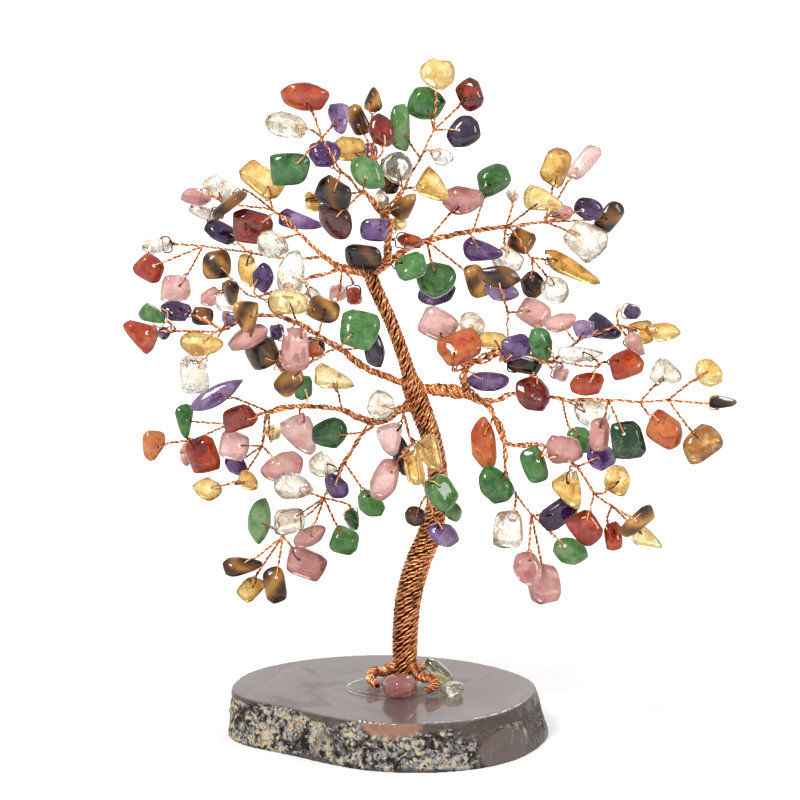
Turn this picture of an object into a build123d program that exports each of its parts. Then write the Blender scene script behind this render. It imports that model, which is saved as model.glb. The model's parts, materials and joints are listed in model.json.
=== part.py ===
from build123d import *
import math
import os

# Gemstone tree: an agate slice carries a rope of twisted copper wires, which forks into six
# bendable limbs, and every twig ends in a loop through one drilled, tumbled stone chip.

# Whole ornament
tree_height = 174.0
crown_depth = 84.0
view_distance = 1000.0
view_elevation = 11.0

# Agate slice
base_length = 76.0
base_depth = 66.0
base_thickness = 12.0
base_flare = 2.2
base_foot_shift = 1.4

# Wires; a twisted pair is a little looser than its two wires side by side
wire_diameter = 0.4
pair_looseness = 1.06
knot_rise = 0.55
wire_packing = 0.75
chips_per_wire = 5
twig_bend_radius = 6.4
loop_corner_radius = 0.28
loop_neck = 0.88
hinge_ball_diameter = 3.4

# Trunk rope
trunk_foot_diameter = 7.4
trunk_diameter = 6.6
trunk_neck_diameter = 5.6
leader_diameter = 3.8
main_knot_diameter = 6.4
crown_knot_diameter = 4.4
lower_knot_diameter = 6.2
root_diameter = 2.4
root_rise = 4.4
root_bend_radius = 1.6

# Stone chips
chip_length = 8.5
chip_width = 6.5
chip_thickness = 4.2
hole_diameter = 1.1
hole_inset = 2.1
hole_inset_share = 0.75
fullness_limits = (0.72, 1.2)
edge_on_share = 0.85
lean_degrees = (-24, 12, 26, -12, 18, -18, 0)
layer_step = 5.04

# Stones and glue at the foot
foot_rose_length = 9.4
foot_rose_width = 8.2
foot_rose_height = 5.6
foot_green_length = 9.8
foot_green_width = 6.0
foot_green_height = 3.4
foot_clear_length = 5.4
foot_clear_width = 4.6
foot_clear_height = 3.2
glue_length = 30.0
glue_width = 23.0
glue_thickness = 0.9
glue_forward = 4.6
foot_stone_turns = (10, 0, 20)
foot_stone_leans = (0, 43, 0)

# Clearances
wire_gap = 0.25
chip_gap = 0.5
limb_gap = 1.5
hinge_gap = 0.25

# How the chips settle: how far each may move, and the share of a shortfall it makes good at a time
aside_limit = 2.2
twig_depth = 11.0
step_limit = 0.8
search_slack = 17.0
knot_zone = 2.2
settle_turns = 200
search_turns = 12
depth_share_of_push = 0.35
side_share_of_push = 0.3
home_pull_share = 0.01
least_hold = 0.3
round_share = 0.85
corner_share = 1.04
grip_share = 1.1
shared_knot_share = 0.12

# The photograph is 800 pixels square, and the crown spans this much of it above the slice
frame_centre_pixels = (400, 400)
foot_centre_pixels = (390, 688)
crown_height_pixels = 648
target_rise_pixels = 298
chip_length_pixels = 34
chip_width_pixels = 26
thin_chip_pixels = 17

pair_diameter = 2 * wire_diameter * pair_looseness
leg_rise = wire_diameter / 4 * (1 + pair_looseness)
pixel_size = (tree_height - base_thickness) / crown_height_pixels
half_depth = crown_depth / 2

# Small vector arithmetic on plain tuples


def add(a, b, factor=1.0):
    return (a[0] + b[0] * factor, a[1] + b[1] * factor, a[2] + b[2] * factor)


def minus(a, b):
    return (a[0] - b[0], a[1] - b[1], a[2] - b[2])


def dot(a, b):
    return a[0] * b[0] + a[1] * b[1] + a[2] * b[2]


def cross(a, b):
    return (a[1] * b[2] - a[2] * b[1], a[2] * b[0] - a[0] * b[2], a[0] * b[1] - a[1] * b[0])


def size(a):
    return math.sqrt(dot(a, a))


def unit(a):
    return (a[0] / size(a), a[1] / size(a), a[2] / size(a))


# Where a pixel of the photograph lies at a given depth; negative depth is towards the viewer
tilt = math.radians(view_elevation)
right = (1, 0, 0)
up = (0, math.sin(tilt), math.cos(tilt))
ahead = (0, math.cos(tilt), -math.sin(tilt))
target_side = (frame_centre_pixels[0] - foot_centre_pixels[0]) * pixel_size
target = (target_side, 0, base_thickness + target_rise_pixels * pixel_size)
eye = add(target, ahead, -view_distance)


def sight(x_pixel, y_pixel):
    across = (x_pixel - frame_centre_pixels[0]) * pixel_size
    rise = (frame_centre_pixels[1] - y_pixel) * pixel_size
    ray = (ahead[0] * view_distance + right[0] * across + up[0] * rise,
           ahead[1] * view_distance + right[1] * across + up[1] * rise,
           ahead[2] * view_distance + right[2] * across + up[2] * rise)
    slope = (ray[0] / ray[1], 1.0, ray[2] / ray[1])
    return add(eye, slope, -eye[1]), slope


def place(x_pixel, y_pixel, depth_share):
    start, slope = sight(x_pixel, y_pixel)
    return add(start, slope, depth_share * half_depth)


# Outlines of tumbled chips, as shares of half their length and half their width
outline_shares = {
    "oval": ((1.0, 0.05), (0.74, 0.68), (0.16, 1.0), (-0.52, 0.86), (-0.98, 0.3),
             (-0.88, -0.46), (-0.26, -1.0), (0.56, -0.84)),
    "block": ((1.0, -0.34), (0.92, 0.62), (0.56, 1.0), (-0.66, 0.94), (-1.0, 0.5),
              (-0.96, -0.66), (-0.6, -1.0), (0.72, -0.92)),
    "wedge": ((1.0, -0.12), (0.86, 0.3), (-0.1, 0.86), (-0.74, 1.0), (-1.0, 0.4),
              (-0.94, -0.7), (-0.5, -1.0), (0.62, -0.56)),
    "shard": ((1.0, 0.2), (0.6, 0.8), (-0.3, 1.0), (-0.9, 0.42), (-1.0, -0.2),
              (-0.44, -0.9), (0.3, -1.0), (0.86, -0.5)),
}
ring_shares = ((-1.0, 0.56), (-0.5, 0.92), (0.34, 1.0), (1.0, 0.62))

# Forks of the wires: parent fork, pixel and depth share. A first fork hangs on its limb's hinge.
limb_names = ("top", "upper_left", "upper_right", "mid_left", "lower_left", "right")
hinge_forks = {"top": "crown", "upper_left": "crown", "upper_right": "crown",
               "mid_left": "main", "lower_left": "lower", "right": "main"}
hinge_pixels = {"top": (374, 263, -0.02), "upper_left": (352, 270, 0.03),
                "upper_right": (386, 266, 0.1), "mid_left": (385, 376, -0.04),
                "lower_left": (385, 408, 0.03), "right": (446, 390, -0.04)}
fork_pixels = {
    "top": {
        "bend": ("hinge", 386, 262, -0.04),
        "stem": ("bend", 388, 246, -0.06),
        "low": ("stem", 385, 217, -0.1),
        "left_low": ("low", 363, 192, -0.2),
        "left_mid": ("left_low", 342, 172, -0.3),
        "left_tip": ("left_mid", 322, 138, -0.42),
        "middle": ("left_low", 375, 160, 0.0),
        "right_low": ("low", 403, 190, 0.02),
        "right_mid": ("right_low", 420, 158, 0.06),
        "right_tip": ("right_mid", 434, 130, 0.1),
    },
    "upper_left": {
        "root": ("hinge", 342, 268, 0.08),
        "inner": ("root", 326, 258, 0.18),
        "middle": ("inner", 300, 234, 0.32),
        "high": ("middle", 274, 211, 0.5),
        "far": ("high", 224, 204, 0.72),
        "low": ("inner", 282, 258, 0.42),
        "out": ("low", 246, 252, 0.56),
        "tip": ("out", 203, 246, 0.82),
        "under": ("root", 304, 280, 0.2),
        "end": ("under", 258, 297, 0.42),
        "brown": ("end", 238, 286, 0.56),
    },
    "upper_right": {
        "bend": ("hinge", 402, 252, 0.16),
        "near": ("bend", 427, 241, 0.24),
        "middle": ("near", 473, 231, 0.36),
        "far": ("middle", 506, 227, 0.46),
        "tip": ("far", 545, 222, 0.62),
        "drop": ("far", 531, 258, 0.5),
    },
    "mid_left": {
        "bend": ("hinge", 362, 366, -0.1),
        "near": ("bend", 342, 350, -0.16),
        "fan": ("near", 318, 336, -0.26),
        "top": ("fan", 296, 322, -0.38),
        "drop": ("near", 312, 361, -0.3),
        "out": ("top", 258, 315, -0.52),
        "far": ("out", 222, 330, -0.66),
        "tip": ("far", 176, 331, -0.84),
    },
    "lower_left": {
        "bend": ("hinge", 375, 422, 0.08),
        "down": ("bend", 364, 432, 0.12),
        "across": ("bend", 342, 410, 0.14),
        "middle": ("across", 304, 406, 0.28),
        "out": ("middle", 269, 412, 0.42),
        "far": ("out", 230, 424, 0.58),
        "tip": ("far", 194, 440, 0.76),
        "under": ("out", 262, 446, 0.5),
        "under_tip": ("under", 240, 480, 0.6),
        "drop": ("down", 344, 462, 0.22),
        "fan": ("drop", 324, 498, 0.34),
        "end": ("fan", 283, 536, 0.5),
    },
    "right": {
        "near": ("hinge", 466, 392, -0.1),
        "bend": ("near", 481, 402, -0.14),
        "knot": ("bend", 494, 413, -0.2),
        "split": ("knot", 505, 442, -0.28),
        "green": ("split", 505, 468, -0.3),
        "lower": ("green", 516, 494, -0.36),
        "foot": ("lower", 531, 514, -0.42),
        "shelf": ("split", 546, 446, -0.42),
        "corner": ("shelf", 577, 467, -0.52),
        "outer": ("corner", 594, 493, -0.6),
        "outer_tip": ("outer", 612, 506, -0.68),
        "level": ("bend", 520, 393, -0.3),
        "level_far": ("level", 562, 399, -0.46),
        "level_out": ("level_far", 608, 400, -0.62),
        "level_tip": ("level_out", 640, 402, -0.74),
        "level_end": ("level_tip", 668, 400, -0.84),
        "rise": ("near", 464, 369, -0.2),
        "rise_mid": ("rise", 503, 351, -0.34),
        "rise_up": ("rise_mid", 508, 314, -0.3),
        "rise_out": ("rise_mid", 548, 361, -0.46),
        "rise_fan": ("rise_out", 576, 342, -0.58),
        "rise_tip": ("rise_fan", 618, 325, -0.72),
        "rise_low": ("rise_out", 598, 367, -0.62),
    },
    "centre": {
        "crown": ("none", 371, 277, 0.0),
        "sprig": ("none", 403, 412, -0.16),
        "sprig_low": ("sprig", 413, 444, -0.24),
        "sprig_end": ("sprig_low", 426, 494, -0.26),
    },
}

# Chips of each limb: fork, stone, pixel of the centre, length and width in pixels, fall to the
# right in degrees, layer towards the back, and outline
chip_pixels = {
    "top": (
        ("left_tip", "carnelian", 306, 96, 48, 29, 0, 0, "oval"),
        ("left_tip", "clear_quartz", 284, 125, 42, 26, 15, -1, "shard"),
        ("left_tip", "amethyst", 340, 119, 31, 22, 80, 1, "wedge"),
        ("left_tip", "aventurine", 290, 169, 38, 32, 10, 0, "block"),
        ("left_mid", "amethyst", 326, 158, 30, 27, 20, 1, "oval"),
        ("left_mid", "tigers_eye", 342, 187, 36, 26, 30, 0, "block"),
        ("left_low", "aventurine", 359, 176, 38, 27, 40, -1, "oval"),
        ("left_low", "carnelian", 337, 211, 40, 30, 60, 0, "oval"),
        ("left_low", "citrine", 315, 208, 20, 16, 90, 1, "block"),
        ("middle", "tigers_eye", 373, 101, 23, 19, -90, 0, "wedge"),
        ("middle", "tigers_eye", 357, 121, 30, 18, 65, 1, "block"),
        ("middle", "carnelian", 381, 130, 34, 24, 70, -1, "oval"),
        ("middle", "citrine", 351, 150, 31, 24, 10, 0, "block"),
        ("middle", "amethyst", 371, 154, 18, 18, 0, 1, "oval"),
        ("low", "amethyst", 376, 228, 28, 24, 0, -1, "block"),
        ("low", "tigers_eye", 397, 208, 30, 20, -50, 0, "wedge"),
        ("low", "clear_quartz", 383, 202, 22, 14, 90, 1, "shard"),
        ("stem", "citrine", 400, 231, 18, 13, 0, 1, "oval"),
        ("stem", "carnelian", 404, 243, 27, 14, 10, 0, "shard"),
        ("right_low", "tigers_eye", 386, 174, 32, 20, 90, 1, "block"),
        ("right_low", "clear_quartz", 403, 166, 30, 27, 0, 0, "oval"),
        ("right_low", "citrine", 429, 185, 36, 28, 35, 0, "wedge"),
        ("right_mid", "aventurine", 404, 132, 42, 18, 90, 0, "block"),
        ("right_mid", "clear_quartz", 442, 157, 22, 19, 20, -1, "oval"),
        ("right_tip", "aventurine", 431, 112, 38, 34, 0, 0, "oval"),
        ("right_tip", "citrine", 436, 78, 33, 31, 0, 0, "shard"),
        ("right_tip", "carnelian", 468, 93, 30, 24, 70, 0, "block"),
        ("right_tip", "amethyst", 464, 130, 34, 29, -30, -1, "oval"),
    ),
    "upper_left": (
        ("root", "carnelian", 357, 292, 18, 13, 90, 0, "block"),
        ("root", "rose_quartz", 344, 293, 18, 15, 0, 1, "block"),
        ("high", "citrine", 260, 189, 42, 28, 40, 0, "block"),
        ("high", "carnelian", 255, 224, 40, 34, 15, -1, "block"),
        ("high", "amethyst", 293, 214, 44, 20, 12, 0, "wedge"),
        ("high", "tigers_eye", 237, 200, 40, 10, -38, -1, "block"),
        ("far", "clear_quartz", 217, 188, 32, 26, 20, 1, "shard"),
        ("far", "rose_quartz", 195, 198, 30, 16, 10, -1, "oval"),
        ("far", "clear_quartz", 204, 212, 32, 16, 20, 0, "oval"),
        ("out", "amethyst", 223, 233, 38, 22, 25, 0, "oval"),
        ("out", "citrine", 247, 270, 34, 20, 80, 1, "oval"),
        ("middle", "clear_quartz", 272, 245, 32, 28, 30, -1, "shard"),
        ("tip", "clear_quartz", 157, 245, 32, 15, -10, 1, "oval"),
        ("tip", "carnelian", 149, 268, 28, 26, 35, 0, "block"),
        ("tip", "rose_quartz", 176, 288, 29, 28, 0, -1, "block"),
        ("brown", "tigers_eye", 219, 271, 28, 28, 0, 0, "block"),
        ("brown", "tigers_eye", 229, 287, 26, 16, 80, -1, "wedge"),
        ("brown", "rose_quartz", 211, 297, 24, 18, -40, 1, "oval"),
        ("brown", "clear_quartz", 229, 303, 28, 19, 15, 0, "block"),
        ("under", "clear_quartz", 290, 275, 46, 28, 100, -1, "oval"),
        ("under", "clear_quartz", 311, 299, 31, 24, 90, 0, "shard"),
        ("end", "amethyst", 266, 278, 29, 21, 90, -1, "oval"),
        ("end", "carnelian", 270, 301, 26, 21, 30, 0, "shard"),
    ),
    "upper_right": (
        ("near", "rose_quartz", 464, 199, 41, 30, 10, 0, "oval"),
        ("near", "aventurine", 438, 274, 42, 33, -12, 0, "oval"),
        ("near", "amethyst", 438, 294, 42, 26, -10, 1, "oval"),
        ("near", "tigers_eye", 475, 281, 34, 22, 75, 0, "block"),
        ("middle", "aventurine", 493, 181, 34, 26, -20, 0, "block"),
        ("middle", "amethyst", 483, 253, 40, 22, 10, -1, "wedge"),
        ("far", "citrine", 543, 200, 42, 24, 15, -1, "wedge"),
        ("far", "clear_quartz", 513, 195, 14, 10, 20, 1, "shard"),
        ("far", "tigers_eye", 520, 243, 27, 25, 30, 1, "block"),
        ("far", "clear_quartz", 510, 258, 28, 24, 30, 0, "block"),
        ("tip", "citrine", 556, 167, 36, 26, -65, 0, "block"),
        ("tip", "rose_quartz", 585, 162, 40, 18, -50, -1, "block"),
        ("tip", "rose_quartz", 562, 213, 24, 19, 0, 1, "oval"),
        ("tip", "amethyst", 587, 214, 32, 22, 5, -1, "oval"),
        ("tip", "tigers_eye", 607, 225, 34, 22, -50, 0, "block"),
        ("tip", "clear_quartz", 580, 245, 38, 34, 40, -1, "block"),
        ("drop", "citrine", 566, 264, 60, 22, 25, 0, "wedge"),
        ("drop", "tigers_eye", 537, 281, 30, 24, 90, 0, "oval"),
        ("drop", "clear_quartz", 561, 285, 28, 26, 30, -1, "shard"),
    ),
    "mid_left": (
        ("near", "amethyst", 373, 347, 42, 22, 75, 0, "oval"),
        ("near", "aventurine", 353, 326, 36, 34, 20, -1, "block"),
        ("fan", "tigers_eye", 331, 314, 28, 26, 20, 0, "block"),
        ("fan", "tigers_eye", 315, 345, 20, 15, 10, 1, "block"),
        ("drop", "carnelian", 313, 352, 18, 15, 20, -1, "wedge"),
        ("drop", "carnelian", 284, 369, 22, 14, 70, 1, "oval"),
        ("drop", "tigers_eye", 298, 373, 32, 24, -45, 0, "block"),
        ("drop", "tigers_eye", 264, 356, 32, 30, 60, -1, "block"),
        ("top", "citrine", 290, 311, 36, 23, 5, 0, "block"),
        ("top", "rose_quartz", 291, 346, 41, 26, 90, -1, "block"),
        ("top", "amethyst", 276, 331, 14, 14, 0, 1, "block"),
        ("out", "tigers_eye", 245, 318, 32, 26, 80, -1, "wedge"),
        ("out", "rose_quartz", 249, 338, 42, 20, -25, 0, "oval"),
        ("far", "tigers_eye", 206, 322, 20, 18, 0, 0, "block"),
        ("far", "amethyst", 225, 318, 18, 13, -10, 1, "wedge"),
        ("far", "citrine", 198, 341, 45, 23, 8, -1, "oval"),
        ("far", "amethyst", 181, 316, 30, 20, 5, 0, "oval"),
        ("far", "clear_quartz", 195, 376, 38, 28, 90, 0, "block"),
        ("tip", "amethyst", 167, 327, 13, 11, 20, 1, "oval"),
        ("tip", "aventurine", 153, 318, 26, 16, 25, 0, "wedge"),
        ("tip", "carnelian", 139, 332, 38, 25, -150, -1, "wedge"),
    ),
    "lower_left": (
        ("across", "citrine", 331, 380, 38, 25, 15, 0, "wedge"),
        ("middle", "aventurine", 307, 387, 23, 18, 90, -1, "block"),
        ("middle", "rose_quartz", 300, 430, 40, 34, 60, 0, "wedge"),
        ("down", "aventurine", 331, 432, 37, 30, -35, -1, "oval"),
        ("out", "amethyst", 217, 395, 54, 20, -30, -1, "oval"),
        ("out", "carnelian", 242, 418, 34, 26, -15, 0, "block"),
        ("under", "rose_quartz", 243, 448, 30, 28, 15, 0, "block"),
        ("out", "citrine", 268, 440, 18, 13, 0, 1, "oval"),
        ("far", "aventurine", 185, 421, 34, 19, 85, 0, "wedge"),
        ("tip", "carnelian", 153, 447, 30, 25, 100, 0, "wedge"),
        ("tip", "carnelian", 204, 455, 36, 31, 70, -1, "block"),
        ("tip", "rose_quartz", 186, 455, 26, 14, 90, 1, "oval"),
        ("under", "amethyst", 235, 464, 25, 18, 30, 1, "oval"),
        ("under", "rose_quartz", 277, 462, 46, 31, -20, 0, "oval"),
        ("under_tip", "citrine", 250, 479, 24, 18, 50, -1, "shard"),
        ("under_tip", "citrine", 208, 489, 30, 22, 20, 0, "shard"),
        ("drop", "clear_quartz", 320, 463, 28, 26, 30, 1, "shard"),
        ("drop", "amethyst", 336, 483, 28, 22, 60, 0, "oval"),
        ("drop", "aventurine", 370, 504, 33, 26, 50, -1, "oval"),
        ("fan", "clear_quartz", 298, 488, 40, 27, 10, 0, "oval"),
        ("fan", "clear_quartz", 289, 519, 32, 27, -10, -1, "block"),
        ("fan", "rose_quartz", 314, 537, 34, 21, -25, 0, "oval"),
        ("fan", "aventurine", 342, 538, 29, 27, 20, 0, "block"),
        ("fan", "aventurine", 350, 522, 22, 14, 70, 1, "wedge"),
        ("end", "aventurine", 260, 521, 46, 26, 95, 1, "oval"),
        ("end", "tigers_eye", 243, 566, 38, 20, -8, 0, "wedge"),
        ("end", "citrine", 250, 589, 26, 21, -50, 1, "block"),
        ("end", "tigers_eye", 275, 585, 34, 22, 80, 0, "block"),
        ("end", "rose_quartz", 307, 563, 37, 30, 20, 0, "block"),
    ),
    "right": (
        ("rise", "rose_quartz", 440, 326, 36, 32, 30, 0, "block"),
        ("rise", "clear_quartz", 472, 325, 30, 25, 40, 1, "shard"),
        ("rise", "carnelian", 458, 345, 38, 31, -30, -1, "block"),
        ("rise", "amethyst", 482, 378, 42, 20, 0, 0, "shard"),
        ("rise_mid", "citrine", 494, 341, 26, 17, 5, 1, "block"),
        ("rise_mid", "amethyst", 521, 348, 30, 25, -20, -1, "block"),
        ("rise_mid", "tigers_eye", 525, 367, 32, 16, 10, 0, "block"),
        ("rise_up", "tigers_eye", 500, 276, 38, 24, 10, -1, "oval"),
        ("rise_up", "amethyst", 504, 295, 34, 20, 15, 0, "oval"),
        ("rise_up", "rose_quartz", 531, 313, 30, 28, 35, 0, "block"),
        ("rise_out", "clear_quartz", 543, 358, 17, 14, 90, 1, "shard"),
        ("rise_out", "aventurine", 549, 344, 36, 24, 75, -1, "oval"),
        ("rise_out", "rose_quartz", 559, 374, 15, 14, 30, 0, "block"),
        ("rise_fan", "rose_quartz", 559, 324, 34, 18, -10, 1, "oval"),
        ("rise_fan", "amethyst", 585, 337, 22, 20, 20, -1, "shard"),
        ("rise_fan", "amethyst", 609, 331, 36, 25, 25, 0, "wedge"),
        ("rise_low", "clear_quartz", 585, 355, 42, 17, -5, 0, "wedge"),
        ("rise_low", "carnelian", 594, 378, 36, 23, -8, 0, "oval"),
        ("rise_low", "carnelian", 621, 359, 32, 28, -20, -1, "block"),
        ("rise_tip", "amethyst", 632, 316, 17, 13, 10, 0, "oval"),
        ("rise_tip", "citrine", 637, 334, 24, 22, 0, 1, "block"),
        ("rise_tip", "citrine", 661, 330, 32, 19, 5, 0, "oval"),
        ("rise_tip", "rose_quartz", 634, 349, 24, 14, 55, -1, "wedge"),
        ("level", "carnelian", 539, 388, 37, 33, 60, -1, "oval"),
        ("level_far", "clear_quartz", 584, 411, 36, 28, 20, 0, "shard"),
        ("level_far", "aventurine", 581, 441, 28, 26, 60, 1, "oval"),
        ("level_out", "rose_quartz", 600, 434, 32, 20, 100, 0, "block"),
        ("level_out", "aventurine", 627, 441, 34, 30, 80, -1, "block"),
        ("level_tip", "clear_quartz", 668, 373, 28, 26, 20, 0, "wedge"),
        ("level_tip", "carnelian", 664, 431, 36, 31, 30, 0, "block"),
        ("level_end", "citrine", 708, 373, 28, 26, 40, -1, "oval"),
        ("level_end", "tigers_eye", 724, 402, 28, 12, 0, 1, "wedge"),
        ("level_end", "citrine", 701, 443, 38, 29, -35, 0, "block"),
        ("knot", "carnelian", 484, 444, 54, 24, 82, 0, "shard"),
        ("shelf", "aventurine", 537, 463, 34, 22, 75, 0, "block"),
        ("shelf", "rose_quartz", 564, 452, 32, 29, 0, -1, "block"),
        ("green", "aventurine", 500, 490, 40, 29, 50, -1, "oval"),
        ("lower", "clear_quartz", 509, 532, 36, 29, 90, -1, "block"),
        ("foot", "amethyst", 550, 519, 36, 24, -35, 0, "block"),
        ("foot", "rose_quartz", 525, 564, 36, 28, 70, -1, "oval"),
        ("foot", "rose_quartz", 549, 578, 36, 31, 80, 0, "block"),
        ("foot", "aventurine", 569, 553, 38, 28, 20, 0, "oval"),
        ("corner", "citrine", 572, 492, 36, 30, 60, -1, "wedge"),
        ("corner", "amethyst", 598, 458, 28, 27, 30, 0, "oval"),
        ("outer", "citrine", 617, 480, 32, 26, 70, -1, "oval"),
        ("outer", "carnelian", 589, 527, 34, 29, 60, 0, "block"),
        ("outer_tip", "carnelian", 610, 537, 26, 17, 80, 1, "block"),
        ("outer_tip", "tigers_eye", 638, 521, 38, 17, -38, 0, "block"),
        ("outer_tip", "citrine", 647, 539, 30, 20, 25, 1, "wedge"),
    ),
    "centre": (
        ("crown", "tigers_eye", 367, 255, 33, 24, 10, -1, "block"),
        ("crown", "rose_quartz", 362, 270, 30, 14, 10, 0, "oval"),
        ("crown", "aventurine", 408, 258, 33, 26, -15, -1, "block"),
        ("sprig", "clear_quartz", 390, 406, 32, 27, 80, 0, "shard"),
        ("sprig", "rose_quartz", 386, 437, 34, 30, 80, -1, "wedge"),
        ("sprig_low", "rose_quartz", 387, 474, 40, 27, -65, 0, "oval"),
        ("sprig_low", "tigers_eye", 400, 456, 40, 18, 75, 1, "shard"),
        ("sprig_low", "citrine", 413, 468, 32, 18, 80, -2, "block"),
        ("sprig_low", "citrine", 430, 458, 36, 26, 60, -1, "wedge"),
        ("sprig_end", "aventurine", 441, 489, 32, 28, 60, -1, "block"),
        ("sprig_end", "tigers_eye", 420, 519, 24, 20, 40, 0, "oval"),
        ("sprig_end", "amethyst", 440, 531, 33, 23, 20, 0, "oval"),
        ("sprig_end", "aventurine", 452, 514, 20, 15, 70, 1, "oval"),
    ),
}

# The trunk: pixel, depth share and diameter
trunk_pixels = (((405, 682, 0.14), trunk_foot_diameter), ((405, 664, 0.13), trunk_diameter),
                ((405, 636, 0.12), trunk_diameter), ((408, 600, 0.11), trunk_diameter),
                ((417, 565, 0.1), trunk_diameter), ((430, 532, 0.08), trunk_diameter),
                ((437, 500, 0.06), trunk_neck_diameter), ((437, 468, 0.05), trunk_neck_diameter),
                ((430, 435, 0.03), trunk_neck_diameter), ((421, 410, 0.01), trunk_neck_diameter))
main_knot_pixels = (413, 388, 0.0)
crown_knot_pixels = (371, 277, 0.0)
leader_pixels = ((402, 352, 0.0), (390, 320, 0.0), (377, 292, 0.0))
# Roots: pixel and depth share, then also how high each bend arches above the slice
root_pixels = (
    ((397, 676, 0.13), (386, 672, 0.14, 1.2), (375, 672, 0.1, 1.8), (372, 678, 0.0, 1.0),
     (378, 684, -0.08, 0.0)),
    ((412, 676, 0.13), (422, 676, 0.02, 1.2), (432, 676, -0.06, 1.8), (434, 684, -0.14, 0.9),
     (427, 690, -0.17, 0.0)),
    ((400, 672, 0.22), (394, 668, 0.32, 0.0), (386, 664, 0.38, 0.0)),
    ((411, 672, 0.22), (416, 668, 0.32, 0.0), (424, 664, 0.38, 0.0)),
)

foot_rose_pixels = (400, 685, -0.19)
foot_green_pixels = (439, 674, 0.07)
foot_clear_pixels = (453, 690, -0.13)


def knot_radius(stem_radius):
    return stem_radius + knot_rise / 2


# A tumbled chip: its frame, half sizes and the faces that bound it


def chip_frame(angle, turn):
    fall = math.radians(angle)
    long_way = add(tuple(math.cos(fall) * part for part in right), up, -math.sin(fall))
    towards = (-ahead[0], -ahead[1], -ahead[2])
    side = cross(towards, long_way)
    lean = math.radians(turn)
    face = add(tuple(math.cos(lean) * part for part in towards), side, math.sin(lean))
    return long_way, cross(face, long_way), face


def new_chip(limb, order, row):
    fork, stone, x_pixel, y_pixel, length_pixels, width_pixels, angle, layer, outline = row
    long_way, side, face = chip_frame(angle, lean_degrees[order % len(lean_degrees)])
    half_length = chip_length / 2 * length_pixels / chip_length_pixels
    half_width = chip_width / 2 * width_pixels / chip_width_pixels
    fullness = min(max(width_pixels / chip_width_pixels, fullness_limits[0]), fullness_limits[1])
    half_thick = chip_thickness / 2 * fullness
    edge_on = width_pixels < thin_chip_pixels
    if edge_on:
        half_thick = chip_width / 2 * edge_on_share
    start, slope = sight(x_pixel, y_pixel)
    return {"limb": limb, "fork": fork, "stone": stone, "outline": outline, "edge_on": edge_on,
            "frame": (long_way, side, face), "half": (half_length, half_width, half_thick),
            "start": start, "slope": slope, "layer": layer,
            "hole_way": side if edge_on else face}


def chip_corners(chip):
    half_length, half_width, half_thick = chip["half"]
    rings = []
    for thick_share, spread in ring_shares:
        ring = []
        for length_share, width_share in outline_shares[chip["outline"]]:
            ring.append((half_length * length_share * spread, half_width * width_share * spread,
                         half_thick * thick_share))
        rings.append(ring)
    return rings


def chip_reach(chip, way):
    # distance from the chip's middle to its surface along a way given in the chip's own axes
    rings = chip_corners(chip)
    reach = chip["half"][0] * 2
    for low, high in zip(rings, rings[1:]):
        for index in range(len(low)):
            corner = low[index]
            normal = cross(minus(low[(index + 1) % len(low)], corner), minus(high[index], corner))
            if size(normal) > 0 and dot(normal, way) > 0:
                reach = min(reach, dot(normal, corner) / dot(normal, way))
    if abs(way[2]) > 0:
        reach = min(reach, chip["half"][2] / abs(way[2]))
    return reach


def leaf_ends(chip):
    # the way from the chip to its fork across the hole, and where rim, hole and twig end lie
    away = minus(chip["knot"], chip["place"])
    way = add(away, chip["hole_way"], -dot(away, chip["hole_way"]))
    if size(way) < wire_gap:
        way = chip["frame"][0]
    way = unit(way)
    local = tuple(dot(way, axis) for axis in chip["frame"])
    rim = chip_reach(chip, local)
    inset = min(hole_inset, rim * hole_inset_share)
    half_grip = chip["half"][1] if chip["edge_on"] else chip["half"][2]
    return {"way": way, "rim": rim, "hole": rim - inset,
            "grip": half_grip + wire_gap + wire_diameter / 2,
            "turn": rim + wire_gap + wire_diameter / 2,
            "end": rim + wire_gap + loop_neck}


# Forks and stems


def hinge_ball_place(limb):
    knot = {"crown": place(*crown_knot_pixels), "main": place(*main_knot_pixels),
            "lower": place(*trunk_pixels[-1][0])}[hinge_forks[limb]]
    knot_size = {"crown": crown_knot_diameter, "main": main_knot_diameter,
                 "lower": lower_knot_diameter}[hinge_forks[limb]]
    way = unit(minus(place(*hinge_pixels[limb]), knot))
    return add(knot, way, knot_size / 2 + hinge_gap + hinge_ball_diameter / 2)


def fork_places(limb):
    places = {}
    for name, (parent, x_pixel, y_pixel, depth_share) in fork_pixels[limb].items():
        places[name] = place(x_pixel, y_pixel, depth_share)
    return places


def chips_beyond(limb, name):
    own = sum(1 for row in chip_pixels[limb] if row[0] == name)
    children = [fork for fork, row in fork_pixels[limb].items() if row[0] == name]
    return own + sum(chips_beyond(limb, child) for child in children)


def stem_radius(limb, name):
    wires = max(1.0, chips_beyond(limb, name) / chips_per_wire)
    if wires == 1.0:
        return pair_diameter / 2
    return pair_diameter / 2 * math.sqrt(wires / wire_packing)


def sprig_start():
    trunk = place(*main_knot_pixels)
    way = unit(minus(place(*fork_pixels["centre"]["sprig"][1:]), trunk))
    return add(trunk, way, main_knot_diameter / 2)


def limb_stems(limb):
    places = fork_places(limb)
    stems = []
    for name, (parent, x_pixel, y_pixel, depth_share) in fork_pixels[limb].items():
        radius = stem_radius(limb, name)
        if parent == "none" and name == "crown":
            continue
        if parent == "none":
            start, start_ball = sprig_start(), 0.0
        elif parent == "hinge":
            start, start_ball = hinge_ball_place(limb), hinge_ball_diameter / 2
        else:
            start = places[parent]
            parent_ball = knot_radius(stem_radius(limb, parent))
            start = add(start, unit(minus(places[name], start)), parent_ball)
            start_ball = 0.0
        stems.append({"limb": limb, "start": start, "end": places[name], "radius": radius,
                      "start_ball": start_ball, "end_ball": knot_radius(radius)})
    return stems


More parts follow.
